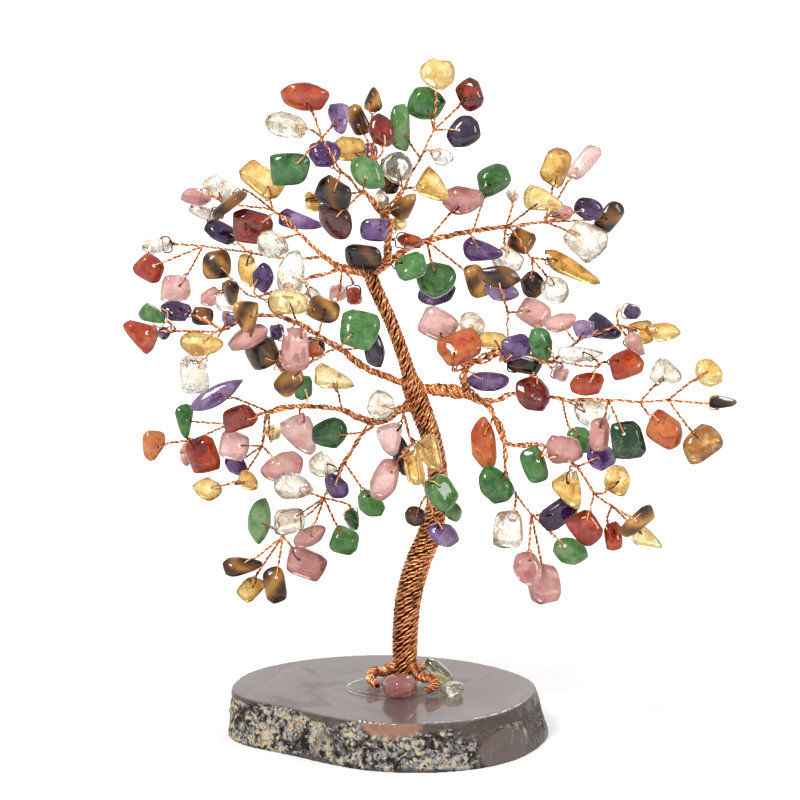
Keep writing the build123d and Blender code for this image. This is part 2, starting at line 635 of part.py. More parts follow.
def trunk_stems():
    points = [place(*pixels) for pixels, diameter in trunk_pixels]
    radii = [diameter / 2 for pixels, diameter in trunk_pixels]
    points += [place(*main_knot_pixels)]
    radii += [main_knot_diameter / 2]
    points += [place(*pixels) for pixels in leader_pixels] + [place(*crown_knot_pixels)]
    radii += [leader_diameter / 2 for pixels in leader_pixels] + [crown_knot_diameter / 2]
    stems = []
    for start, end, low, high in zip(points, points[1:], radii, radii[1:]):
        stems.append({"limb": "centre", "start": start, "end": end, "radius": max(low, high)})
    return stems


# Chips keep their place in the picture and move in depth until nothing touches


def nearest_shares(p, q, r, s):
    # shares along p-q and r-s where the two straight runs come nearest
    run, other, offset = minus(q, p), minus(s, r), minus(p, r)
    a, e, f = dot(run, run), dot(other, other), dot(other, offset)
    c, b = dot(run, offset), dot(run, other)
    spare = a * e - b * b
    first = min(max((b * f - c * e) / spare, 0.0), 1.0) if spare > 1e-9 * a * e else 0.0
    second = (b * first + f) / e if e > 0 else 0.0
    if second < 0.0 or second > 1.0:
        second = min(max(second, 0.0), 1.0)
        first = min(max((b * second - c) / a, 0.0), 1.0) if a > 0 else 0.0
    return first, second


def chip_parts(chip):
    # a chip, its loop and its twig as three rounded runs; the share says how far each one
    # follows the chip when the chip moves
    long_way, side, face = chip["frame"]
    half_length, half_width, half_thick = chip["half"]
    centre = chip["place"]
    away = minus(chip["knot"], centre)
    way = add(away, chip["hole_way"], -dot(away, chip["hole_way"]))
    way = unit(way) if size(way) > wire_gap else long_way
    thick_way, broad, thin = face, max(half_width, half_thick), half_width
    along = dot(way, long_way) / half_length
    across = dot(way, side) / half_width
    deep = dot(way, thick_way) / half_thick
    rim = 1.0 / math.sqrt(along * along + across * across + deep * deep)
    spine = max(half_length - round_share * broad, 0.0)
    tip = add(centre, way, rim + wire_gap + loop_neck)
    loop_middle = add(centre, way, rim - hole_inset / 2)
    half_grip = (thin if chip["edge_on"] else half_thick) + wire_gap + wire_diameter
    body_ends = add(centre, long_way, -spine), add(centre, long_way, spine)
    return (
        (body_ends[0], body_ends[1], broad * corner_share, 1.0, 1.0),
        (loop_middle, loop_middle, half_grip * grip_share, 1.0, 1.0),
        (chip["knot"], tip, pair_diameter / 2, 0.0, 1.0),
    )


def lay(chip):
    chip["place"] = add(chip["start"], chip["slope"], chip["depth"])
    chip["place"] = add(add(chip["place"], right, chip["aside"]), up, chip["raised"])


def settle(chips, stems):
    for chip in chips:
        chip["aside"], chip["raised"] = 0.0, 0.0
        chip["home"] = chip["depth"]
        lay(chip)
        chip["reach"] = size(minus(chip["knot"], chip["place"])) + chip["half"][0]
    fixed = []
    for stem in stems:
        fixed.append((stem["start"], stem["end"], stem["radius"], 0.0, 0.0, stem["limb"]))
    for turn in range(settle_turns):
        pushes = [[0.0, 0.0, 0.0] for chip in chips]
        worst = 0.0
        parts = [chip_parts(chip) for chip in chips]
        if turn % search_turns == 0:
            pairs = near_pairs(chips, parts, fixed)
        for first, second, apart in pairs:
            movable = second < len(chips)
            others = parts[second] if movable else (fixed[second - len(chips)][:5],)
            for own in parts[first]:
                for other in others:
                    gap = clear_between(own, other, apart)
                    if gap is None:
                        continue
                    short, own_hold, other_hold, way = gap
                    worst = max(worst, short)
                    push = min(short, step_limit)
                    if way[1] == 0:
                        way = (0, 1 if first > second else -1, 0)
                    give(pushes[first], way, push * max(own_hold, least_hold))
                    if movable:
                        give(pushes[second], way, -push * max(other_hold, least_hold))
        if worst < chip_gap / 10:
            break
        for chip, push in zip(chips, pushes):
            move = [min(max(part, -step_limit), step_limit) for part in push]
            depth = chip["depth"] + move[0] + (chip["home"] - chip["depth"]) * home_pull_share
            chip["depth"] = min(max(depth, chip["home"] - twig_depth), chip["home"] + twig_depth)
            chip["aside"] = min(max(chip["aside"] + move[1], -aside_limit), aside_limit)
            chip["raised"] = min(max(chip["raised"] + move[2], -aside_limit), aside_limit)
            lay(chip)
    return worst


def give(push, way, amount):
    back_or_forth = 1 if way[1] > 0 else -1
    push[0] += (back_or_forth * depth_share_of_push + way[1] * side_share_of_push) * amount
    push[1] += dot(way, right) * amount * side_share_of_push
    push[2] += dot(way, up) * amount * side_share_of_push


def near_pairs(chips, parts, fixed):
    # pairs worth testing, with the clearance that each must keep
    pairs = []
    for first, chip in enumerate(chips):
        for second in range(first + 1, len(chips)):
            other = chips[second]
            reach = chip["reach"] + other["reach"] + search_slack
            if size(minus(chip["place"], other["place"])) > reach:
                continue
            pairs.append((first, second, chip_gap if chip["limb"] == other["limb"] else limb_gap))
        for index, stem in enumerate(fixed):
            if size(minus(stem[1], chip["knot"])) < wire_gap:
                continue
            middle = add(stem[0], minus(stem[1], stem[0]), 0.5)
            reach = size(minus(stem[1], middle)) + chip["reach"] + search_slack
            if size(minus(middle, chip["place"])) > reach:
                continue
            if size(minus(stem[0], chip["knot"])) < knot_zone:
                apart = -knot_rise
            else:
                apart = chip_gap if chip["limb"] == stem[5] else limb_gap
            pairs.append((first, len(chips) + index, apart))
    return pairs


def clear_between(own, other, apart):
    wanted = own[2] + other[2] + apart
    reach = wanted + size(minus(own[0], own[1])) + size(minus(other[0], other[1]))
    if abs(own[0][0] - other[0][0]) > reach:
        return None
    first, second = nearest_shares(own[0], own[1], other[0], other[1])
    spot = add(own[0], minus(own[1], own[0]), first)
    other_spot = add(other[0], minus(other[1], other[0]), second)
    between = minus(spot, other_spot)
    if own[3] == 0.0 and other[3] == 0.0 and min(first, second) < shared_knot_share:
        return None
    short = wanted - size(between)
    if short <= 0:
        return None
    own_hold = own[3] + (own[4] - own[3]) * first
    other_hold = other[3] + (other[4] - other[3]) * second
    way = unit(between) if size(between) > 0 else (0, 0, 0)
    return short, own_hold, other_hold, way


# Solids


def facing(origin, z_way, x_way=None):
    if x_way is None:
        return Plane(origin=origin, z_dir=z_way)
    return Plane(origin=origin, x_dir=x_way, z_dir=z_way)


def faceted(rings):
    corners = [[Vector(*corner) for corner in ring] for ring in rings]
    faces = [Face(Wire.make_polygon(corners[0])), Face(Wire.make_polygon(corners[-1]))]
    for low, high in zip(corners, corners[1:]):
        for index in range(len(low)):
            after = (index + 1) % len(low)
            faces.append(Face(Wire.make_polygon([low[index], low[after], high[after], high[index]])))
    return Solid(Shell(faces))


def chip_solid(chip):
    long_way, side, face = chip["frame"]
    ends = chip["ends"]
    half_length, half_width, half_thick = chip["half"]
    body = facing(chip["place"], face, long_way).location * faceted(chip_corners(chip))
    drill_length = (half_length + half_width + half_thick) * 2
    drill = facing(add(chip["place"], ends["way"], ends["hole"]), chip["hole_way"]).location
    return body - drill * Cylinder(hole_diameter / 2, drill_length)


# A twig bends once on its way to the chip, unless it runs there all but straight
straight_turn = 0.05
bend_room_share = 0.45


def twig_path(start, corner, end):
    first, second = minus(corner, start), minus(end, corner)
    cosine = dot(first, second) / size(first) / size(second)
    turn = math.acos(min(max(cosine, -1.0), 1.0))
    if turn < straight_turn:
        return Polyline(start, end)
    radius = min(size(first), size(second)) * bend_room_share / math.tan(turn / 2)
    return FilletPolyline(start, corner, end, radius=min(radius, twig_bend_radius))


def tube(path, radius):
    return sweep(Plane(origin=path @ 0, z_dir=path % 0) * Circle(radius), path=path)


def leaf_wire(chip):
    # one twisted twig and the single-wire loop through the chip's hole and round its rim
    ends = chip["ends"]
    way, hole_way, centre = ends["way"], chip["hole_way"], chip["place"]
    half_wire = wire_diameter / 2

    def spot(out, rise):
        return add(add(centre, way, out), hole_way, rise)

    loop = FilletPolyline(
        spot(ends["end"], leg_rise), spot(ends["turn"] + half_wire, leg_rise),
        spot(ends["turn"], ends["grip"]), spot(ends["hole"], ends["grip"]),
        spot(ends["hole"], -ends["grip"]), spot(ends["turn"], -ends["grip"]),
        spot(ends["turn"] + half_wire, -leg_rise), spot(ends["end"], -leg_rise),
        radius=loop_corner_radius)
    twig_end = spot(ends["end"] - half_wire / 2, 0)
    corner = spot(ends["end"] + pair_diameter, 0)
    start = add(chip["knot"], unit(minus(corner, chip["knot"])), chip["knot_radius"])
    twig = tube(twig_path(start, corner, twig_end), pair_diameter / 2)
    return twig + tube(loop, half_wire)


def stem_solid(stem):
    # a round stem with a knot at its far end and, at a hinge, a ball at its near end
    run = minus(stem["end"], stem["start"])
    length, radius = size(run), stem["radius"]
    start_ball, end_ball = stem["start_ball"], stem["end_ball"]
    edges = []
    if start_ball > radius:
        begin = math.asin(radius / start_ball)
        join = start_ball * math.cos(begin)
        middle = (math.pi + begin) / 2
        edges.append(Edge.make_three_point_arc(
            (0, 0, -start_ball),
            (start_ball * math.sin(middle), 0, start_ball * math.cos(middle)),
            (radius, 0, join)))
        first = (0, 0, -start_ball)
    else:
        join = 0
        first = (0, 0, 0)
        edges.append(Edge.make_line(first, (radius, 0, 0)))
    end_join = length - math.sqrt(end_ball ** 2 - radius ** 2)
    begin = math.pi - math.asin(radius / end_ball)
    edges.append(Edge.make_line((radius, 0, join), (radius, 0, end_join)))
    edges.append(Edge.make_three_point_arc(
        (radius, 0, end_join),
        (end_ball * math.sin(begin / 2), 0, length + end_ball * math.cos(begin / 2)),
        (0, 0, length + end_ball)))
    edges.append(Edge.make_line((0, 0, length + end_ball), first))
    profile = Face(Wire(edges))
    return facing(stem["start"], run).location * revolve(profile, axis=Axis.Z)


def rope(points, radii):
    # a tapered rope through round sections square to its run
    sections = []
    for index, (point, radius) in enumerate(zip(points, radii)):
        before = points[max(index - 1, 0)]
        after = points[min(index + 1, len(points) - 1)]
        sections.append(facing(point, minus(after, before)) * Circle(radius))
    return loft(sections, ruled=True)


def on_slice(point, rise):
    return (point[0], point[1], base_thickness + rise)


# A root leaves the trunk this share of the way from the trunk's middle to its first pixel
root_start_share = 0.2


def trunk_solid():
    points = [place(*pixels) for pixels, diameter in trunk_pixels]
    radii = [diameter / 2 for pixels, diameter in trunk_pixels]
    foot = on_slice(points[0], 0)
    points[0] = foot
    points[1] = (foot[0], foot[1], points[1][2])
    points.append(place(*main_knot_pixels))
    radii.append(trunk_neck_diameter / 2)
    body = rope(points, radii)
    body += Pos(*points[-1]) * Sphere(main_knot_diameter / 2)
    for pixels in root_pixels:
        near = add(foot, minus(place(*pixels[0]), foot), root_start_share)
        low = root_diameter / 2
        spots = [on_slice(near, root_rise + root_diameter)]
        spots += [on_slice(place(*row[:3]), low + row[3]) for row in pixels[1:]]
        path = FilletPolyline(*spots, radius=root_bend_radius)
        body += tube(path, low)
    return body


def leader_solid():
    knot = place(*main_knot_pixels)
    points = [place(*pixels) for pixels in leader_pixels] + [place(*crown_knot_pixels)]
    start = add(knot, unit(minus(points[0], knot)), main_knot_diameter / 2)
    body = rope([start] + points, [leader_diameter / 2] * (len(points) + 1))
    return body + Pos(*points[-1]) * Sphere(crown_knot_diameter / 2)


# The slice's outline from above, as shares of half its length and half its depth
slice_shares = ((-1.05, 0.15), (-0.97, -0.27), (-0.69, -0.53), (-0.2, -0.93), (0.22, -1.0),
                (0.64, -0.8), (0.93, -0.24), (0.97, 0.1), (0.77, 0.58), (0.25, 0.97),
                (-0.45, 0.94), (-0.87, 0.62))


def agate_base():
    top = [(base_length / 2 * x, base_depth / 2 * y) for x, y in slice_shares]
    foot = [((base_length / 2 + base_flare) * x + base_foot_shift, (base_depth / 2 + base_flare) * y)
            for x, y in slice_shares]
    upper = Plane((0, 0, base_thickness)) * make_face(Spline(*top, periodic=True))
    lower = make_face(Spline(*foot, periodic=True))
    return loft([lower, upper], ruled=True)


def foot_stone(length, width, height, outline, pixels, turn, lean):
    middle = place(*pixels)
    rings = []
    for thick_share, spread in ring_shares:
        rings.append([(length / 2 * x * spread, width / 2 * y * spread, height / 2 * thick_share)
                      for x, y in outline_shares[outline]])
    solid = Rot(0, 0, turn) * Rot(0, lean, 0) * faceted(rings)
    return Pos(middle[0], middle[1], base_thickness - solid.bounding_box().min.Z) * solid


def make_chips():
    chips = []
    for limb in limb_names + ("centre",):
        places = fork_places(limb)
        for order, row in enumerate(chip_pixels[limb]):
            chip = new_chip(limb, order, row)
            fork = row[0]
            chip["knot"] = places[fork]
            chip["knot_radius"] = knot_radius(stem_radius(limb, fork))
            if fork == "crown":
                chip["knot_radius"] = crown_knot_diameter / 2
            chip["depth"] = places[fork][1] + chip["layer"] * layer_step
            chips.append(chip)
    return chips


def main():
    os.makedirs("parts", exist_ok=True)
    chips = make_chips()
    stems = {limb: limb_stems(limb) for limb in limb_names + ("centre",)}
    every_stem = [stem for group in stems.values() for stem in group] + trunk_stems()
    left_short = settle(chips, every_stem)
    print("chips", len(chips), "largest gap still short by", round(left_short, 2), "mm")

    nodes = {}
    nodes["agate_base"] = [agate_base()]
    nodes["trunk_rope"] = [trunk_solid()]
    nodes["leader_rope"] = [leader_solid()]
    nodes["foot_rose_quartz"] = [foot_stone(
        foot_rose_length, foot_rose_width, foot_rose_height, "oval", foot_rose_pixels,
        foot_stone_turns[0], foot_stone_leans[0])]
    nodes["foot_aventurine"] = [foot_stone(
        foot_green_length, foot_green_width, foot_green_height, "oval", foot_green_pixels,
        foot_stone_turns[1], foot_stone_leans[1])]
    nodes["foot_clear_quartz"] = [foot_stone(
        foot_clear_length, foot_clear_width, foot_clear_height, "block", foot_clear_pixels,
        foot_stone_turns[2], foot_stone_leans[2])]
    foot = place(*trunk_pixels[0][0])
    glue = Pos(foot[0], foot[1] - glue_forward, base_thickness + glue_thickness / 2)
    glue = glue * extrude(Ellipse(glue_length / 2, glue_width / 2), glue_thickness / 2, both=True)
    for name in ("trunk_rope", "foot_rose_quartz", "foot_aventurine", "foot_clear_quartz"):
        glue = glue - nodes[name][0]
    nodes["glue_pool"] = list(glue.solids())

    for chip in chips:
        chip["ends"] = leaf_ends(chip)
    for limb in limb_names + ("centre",):
        own = [chip for chip in chips if chip["limb"] == limb]
        nodes[limb + "_wires"] = [stem_solid(stem) for stem in stems[limb]]
        nodes[limb + "_wires"] += [leaf_wire(chip) for chip in own]
        for stone in sorted({chip["stone"] for chip in own}):
            nodes[limb + "_" + stone] = [chip_solid(chip) for chip in own if chip["stone"] == stone]
    for name, solids in nodes.items():
        flat = [solid for group in solids for solid in group.solids()]
        export_step(Compound(children=flat) if len(flat) > 1 else flat[0], f"parts/{name}.step")
    print(len(nodes), "nodes")
    for limb in limb_names:
        print(limb, "hinge at", [round(value, 3) for value in hinge_ball_place(limb)])


main()
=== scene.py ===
import bpy
import bmesh
import json
import math
import random
from mathutils import Matrix, Vector, noise


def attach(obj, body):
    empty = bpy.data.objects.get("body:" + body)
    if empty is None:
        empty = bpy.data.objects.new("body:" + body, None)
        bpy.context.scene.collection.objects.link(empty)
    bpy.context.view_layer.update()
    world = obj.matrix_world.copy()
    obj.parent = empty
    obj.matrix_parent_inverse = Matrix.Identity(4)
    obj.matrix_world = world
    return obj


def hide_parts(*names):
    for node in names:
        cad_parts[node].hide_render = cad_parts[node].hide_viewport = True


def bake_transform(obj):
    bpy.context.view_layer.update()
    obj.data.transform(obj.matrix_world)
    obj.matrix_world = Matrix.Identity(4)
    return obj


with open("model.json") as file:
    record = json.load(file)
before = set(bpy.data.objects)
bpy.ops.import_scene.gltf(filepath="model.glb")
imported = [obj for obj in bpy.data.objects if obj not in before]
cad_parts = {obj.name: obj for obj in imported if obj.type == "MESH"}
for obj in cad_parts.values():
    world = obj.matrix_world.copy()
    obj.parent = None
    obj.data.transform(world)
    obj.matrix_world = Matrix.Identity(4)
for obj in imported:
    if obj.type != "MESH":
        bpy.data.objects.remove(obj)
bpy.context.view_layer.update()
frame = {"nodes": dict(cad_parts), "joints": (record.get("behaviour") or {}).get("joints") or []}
print("frame loaded,", len(frame["nodes"]), "nodes")

# Everything below is worked out in millimetres, and goes into the meshes in metres
mm = 0.001

# The photograph's view: how far off and how high the camera stands, and what it looks at
camera = {
    "distance": 1000.0,
    "elevation": 11.0,
    "target": (2.5, 0.0, 86.5),
    "pixel": 0.25,
    "middle": 400,
    "frameWidth": 200.0,
    "sensor": 36.0,
    "crownDepth": 42.0,
}
tilt = math.radians(camera["elevation"])
toRight = Vector((1, 0, 0))
toTop = Vector((0, math.sin(tilt), math.cos(tilt)))
intoPhoto = Vector((0, math.cos(tilt), -math.sin(tilt)))
eye = Vector(camera["target"]) - intoPhoto * camera["distance"]


def place(xPixel, yPixel, depthShare):  # a point behind a pixel, at a share of the crown's depth
    across = (xPixel - camera["middle"]) * camera["pixel"]
    rise = (camera["middle"] - yPixel) * camera["pixel"]
    ray = intoPhoto * camera["distance"] + toRight * across + toTop * rise
    return eye + ray * ((depthShare * camera["crownDepth"] - eye.y) / ray.y)


def deselectAll():
    if bpy.context.mode != "OBJECT":
        bpy.ops.object.mode_set(mode="OBJECT")
    bpy.ops.object.select_all(action="DESELECT")


def pickOnly(obj):
    deselectAll()
    obj.select_set(True)
    bpy.context.view_layer.objects.active = obj


def finishModifier(obj, kind, **settings):
    pickOnly(obj)
    modifier = obj.modifiers.new(kind.lower(), kind)
    for name, value in settings.items():
        setattr(modifier, name, value)
    bpy.ops.object.modifier_apply(modifier=modifier.name)


def newObject(name, mesh):
    obj = bpy.data.objects.new(name, mesh)
    bpy.context.scene.collection.objects.link(obj)
    return obj


def finishPiece(obj, material, body, slot, *nodes):  # what every finished piece gets
    obj.data.materials.clear()
    obj.data.materials.append(material)
    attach(obj, body)
    if nodes:
        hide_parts(*nodes)
    obj.select_set(False)


def mergedCopy(nodeName, name):  # a CAD node's shape as one welded mesh
    mesh = frame["nodes"][nodeName].data.copy()
    bm = bmesh.new()
    bm.from_mesh(mesh)
    bmesh.ops.remove_doubles(bm, verts=bm.verts, dist=0.001 * mm)
    bm.to_mesh(mesh)
    bm.free()
    return newObject(name, mesh)


# Shader maths: a socket that can be added, multiplied and so on
class Level:
    def __init__(self, tree, socket):
        self.tree = tree
        self.socket = socket

    def maths(self, operation, other, flipped=False):
        node = self.tree.nodes.new("ShaderNodeMath")
        node.operation = operation
        for slot, item in zip(node.inputs, (other, self) if flipped else (self, other)):
            if isinstance(item, Level):
                self.tree.links.new(item.socket, slot)
            else:
                slot.default_value = item
        return Level(self.tree, node.outputs[0])

    def __add__(self, other):
        return self.maths("ADD", other)

    def __sub__(self, other):
        return self.maths("SUBTRACT", other)

    def __rsub__(self, other):
        return self.maths("SUBTRACT", other, True)

    def __mul__(self, other):
        return self.maths("MULTIPLY", other)

    __radd__ = __add__
    __rmul__ = __mul__


class Finish:
    def __init__(self, name, **sockets):
        self.material = bpy.data.materials.new(name)
        self.material.use_nodes = True
        self.tree = self.material.node_tree
        self.shader = self.tree.nodes["Principled BSDF"]
        for socket, value in sockets.items():
            self.shader.inputs[socket.replace("_", " ")].default_value = value

    def node(self, kind, settings, sockets, output=0):  # any node, its settings first
        node = self.tree.nodes.new(kind)
        for name, value in settings.items():
            if name == "stops":
                while len(node.color_ramp.elements) < len(value):
                    node.color_ramp.elements.new(0.5)
                for element, (position, colour) in zip(node.color_ramp.elements, value):
                    element.position = position
                    element.color = (*colour, 1.0)
            else:
                setattr(node, name, value)
        for name, value in sockets.items():
            if isinstance(value, Level):
                self.tree.links.new(value.socket, node.inputs[name])
            else:
                node.inputs[name].default_value = value
        return Level(self.tree, node.outputs[output])

    def where(self):
        return self.node("ShaderNodeTexCoord", {}, {}, "Object")

    def vector(self, operation, *values):  # vector maths, where a length comes out as one level
        return self.node("ShaderNodeVectorMath", {"operation": operation}, dict(enumerate(values)),
                         "Value" if operation == "LENGTH" else "Vector")

    def split(self, vector, axis):
        return self.node("ShaderNodeSeparateXYZ", {}, {"Vector": vector}, axis)

    def attribute(self, name, output="Fac"):
        return self.node("ShaderNodeAttribute", {"attribute_name": name}, {}, output)

    def noise(self, vector, scale, detail=3.0, distortion=0.0, roughness=0.5):
        return self.node("ShaderNodeTexNoise", {}, {
            "Vector": vector, "Scale": scale, "Detail": detail, "Distortion": distortion,
            "Roughness": roughness})

    def ramp(self, level, *stops):
        return self.node("ShaderNodeValToRGB", {"stops": stops}, {"Fac": level})

    def spread(self, level, low, high, fromLow=0.0, fromHigh=1.0):  # clamped remap of one level
        return self.node("ShaderNodeMapRange", {}, {
            "Value": level, "From Min": fromLow, "From Max": fromHigh, "To Min": low, "To Max": high})

    def mix(self, factor, first, second):
        return self.node("ShaderNodeMix", {"data_type": "RGBA"}, {0: factor, 6: first, 7: second}, 2)

    def feed(self, socket, level):
        self.tree.links.new(level.socket, self.shader.inputs[socket])

    def polish(self, share, colour, roughness):  # a mirror-like layer over the rest
        gloss = self.node("ShaderNodeBsdfGlossy", {}, {"Color": (*colour, 1.0), "Roughness": roughness})
        both = self.node("ShaderNodeMixShader", {}, {
            0: share, 1: Level(self.tree, self.shader.outputs[0]), 2: gloss})
        self.tree.links.new(both.socket, self.tree.nodes["Material Output"].inputs["Surface"])

    def bump(self, height, distance, strength=1.0):
        self.feed("Normal", self.node("ShaderNodeBump", {}, {
            "Height": height, "Distance": distance, "Strength": strength}))


# Outlines of tumbled chips, as shares of half their length and half their width
outlineShares = {
    "oval": ((1.0, 0.05), (0.74, 0.68), (0.16, 1.0), (-0.52, 0.86),
        (-0.98, 0.3), (-0.88, -0.46), (-0.26, -1.0), (0.56, -0.84)),
    "block": ((1.0, -0.34), (0.92, 0.62), (0.56, 1.0), (-0.66, 0.94),
        (-1.0, 0.5), (-0.96, -0.66), (-0.6, -1.0), (0.72, -0.92)),
    "wedge": ((1.0, -0.12), (0.86, 0.3), (-0.1, 0.86), (-0.74, 1.0),
        (-1.0, 0.4), (-0.94, -0.7), (-0.5, -1.0), (0.62, -0.56)),
    "shard": ((1.0, 0.2), (0.6, 0.8), (-0.3, 1.0), (-0.9, 0.42),
        (-1.0, -0.2), (-0.44, -0.9), (0.3, -1.0), (0.86, -0.5)),
}
# Height and spread of a chip's four rings
ringShares = ((-1.0, 0.56), (-0.5, 0.92), (0.34, 1.0), (1.0, 0.62))

# Forks of the wires: parent fork, pixel of the photo and depth share
limbForks = {
    "top": {
        "bend": ("hinge", 386, 262, -0.04),
        "stem": ("bend", 388, 246, -0.06),
        "low": ("stem", 385, 217, -0.1),
        "left_low": ("low", 363, 192, -0.2),
        "left_mid": ("left_low", 342, 172, -0.3),
        "left_tip": ("left_mid", 322, 138, -0.42),
        "middle": ("left_low", 375, 160, 0.0),
        "right_low": ("low", 403, 190, 0.02),
        "right_mid": ("right_low", 420, 158, 0.06),
        "right_tip": ("right_mid", 434, 130, 0.1),
    },
    "upper_left": {
        "root": ("hinge", 342, 268, 0.08),
        "inner": ("root", 326, 258, 0.18),
        "middle": ("inner", 300, 234, 0.32),
        "high": ("middle", 274, 211, 0.5),
        "far": ("high", 224, 204, 0.72),
        "low": ("inner", 282, 258, 0.42),
        "out": ("low", 246, 252, 0.56),
        "tip": ("out", 203, 246, 0.82),
        "under": ("root", 304, 280, 0.2),
        "end": ("under", 258, 297, 0.42),
        "brown": ("end", 238, 286, 0.56),
    },
    "upper_right": {
        "bend": ("hinge", 402, 252, 0.16),
        "near": ("bend", 427, 241, 0.24),
        "middle": ("near", 473, 231, 0.36),
        "far": ("middle", 506, 227, 0.46),
        "tip": ("far", 545, 222, 0.62),
        "drop": ("far", 531, 258, 0.5),
    },
    "mid_left": {
        "bend": ("hinge", 362, 366, -0.1),
        "near": ("bend", 342, 350, -0.16),
        "fan": ("near", 318, 336, -0.26),
        "top": ("fan", 296, 322, -0.38),
        "drop": ("near", 312, 361, -0.3),
        "out": ("top", 258, 315, -0.52),
        "far": ("out", 222, 330, -0.66),
        "tip": ("far", 176, 331, -0.84),
    },
    "lower_left": {
        "bend": ("hinge", 375, 422, 0.08),
        "down": ("bend", 364, 432, 0.12),
        "across": ("bend", 342, 410, 0.14),
        "middle": ("across", 304, 406, 0.28),
        "out": ("middle", 269, 412, 0.42),
        "far": ("out", 230, 424, 0.58),
        "tip": ("far", 194, 440, 0.76),
        "under": ("out", 262, 446, 0.5),
        "under_tip": ("under", 240, 480, 0.6),
        "drop": ("down", 344, 462, 0.22),
        "fan": ("drop", 324, 498, 0.34),
        "end": ("fan", 283, 536, 0.5),
    },
    "right": {
        "near": ("hinge", 466, 392, -0.1),
        "bend": ("near", 481, 402, -0.14),
        "knot": ("bend", 494, 413, -0.2),
        "split": ("knot", 505, 442, -0.28),
        "green": ("split", 505, 468, -0.3),
        "lower": ("green", 516, 494, -0.36),
        "foot": ("lower", 531, 514, -0.42),
        "shelf": ("split", 546, 446, -0.42),
        "corner": ("shelf", 577, 467, -0.52),
        "outer": ("corner", 594, 493, -0.6),
        "outer_tip": ("outer", 612, 506, -0.68),
        "level": ("bend", 520, 393, -0.3),
        "level_far": ("level", 562, 399, -0.46),
        "level_out": ("level_far", 608, 400, -0.62),
        "level_tip": ("level_out", 640, 402, -0.74),
        "level_end": ("level_tip", 668, 400, -0.84),
        "rise": ("near", 464, 369, -0.2),
        "rise_mid": ("rise", 503, 351, -0.34),
        "rise_up": ("rise_mid", 508, 314, -0.3),
        "rise_out": ("rise_mid", 548, 361, -0.46),
        "rise_fan": ("rise_out", 576, 342, -0.58),
        "rise_tip": ("rise_fan", 618, 325, -0.72),
        "rise_low": ("rise_out", 598, 367, -0.62),
    },
    "centre": {
        "crown": ("none", 371, 277, 0.0),
        "sprig": ("none", 403, 412, -0.16),
        "sprig_low": ("sprig", 413, 444, -0.24),
        "sprig_end": ("sprig_low", 426, 494, -0.26),
    },
}

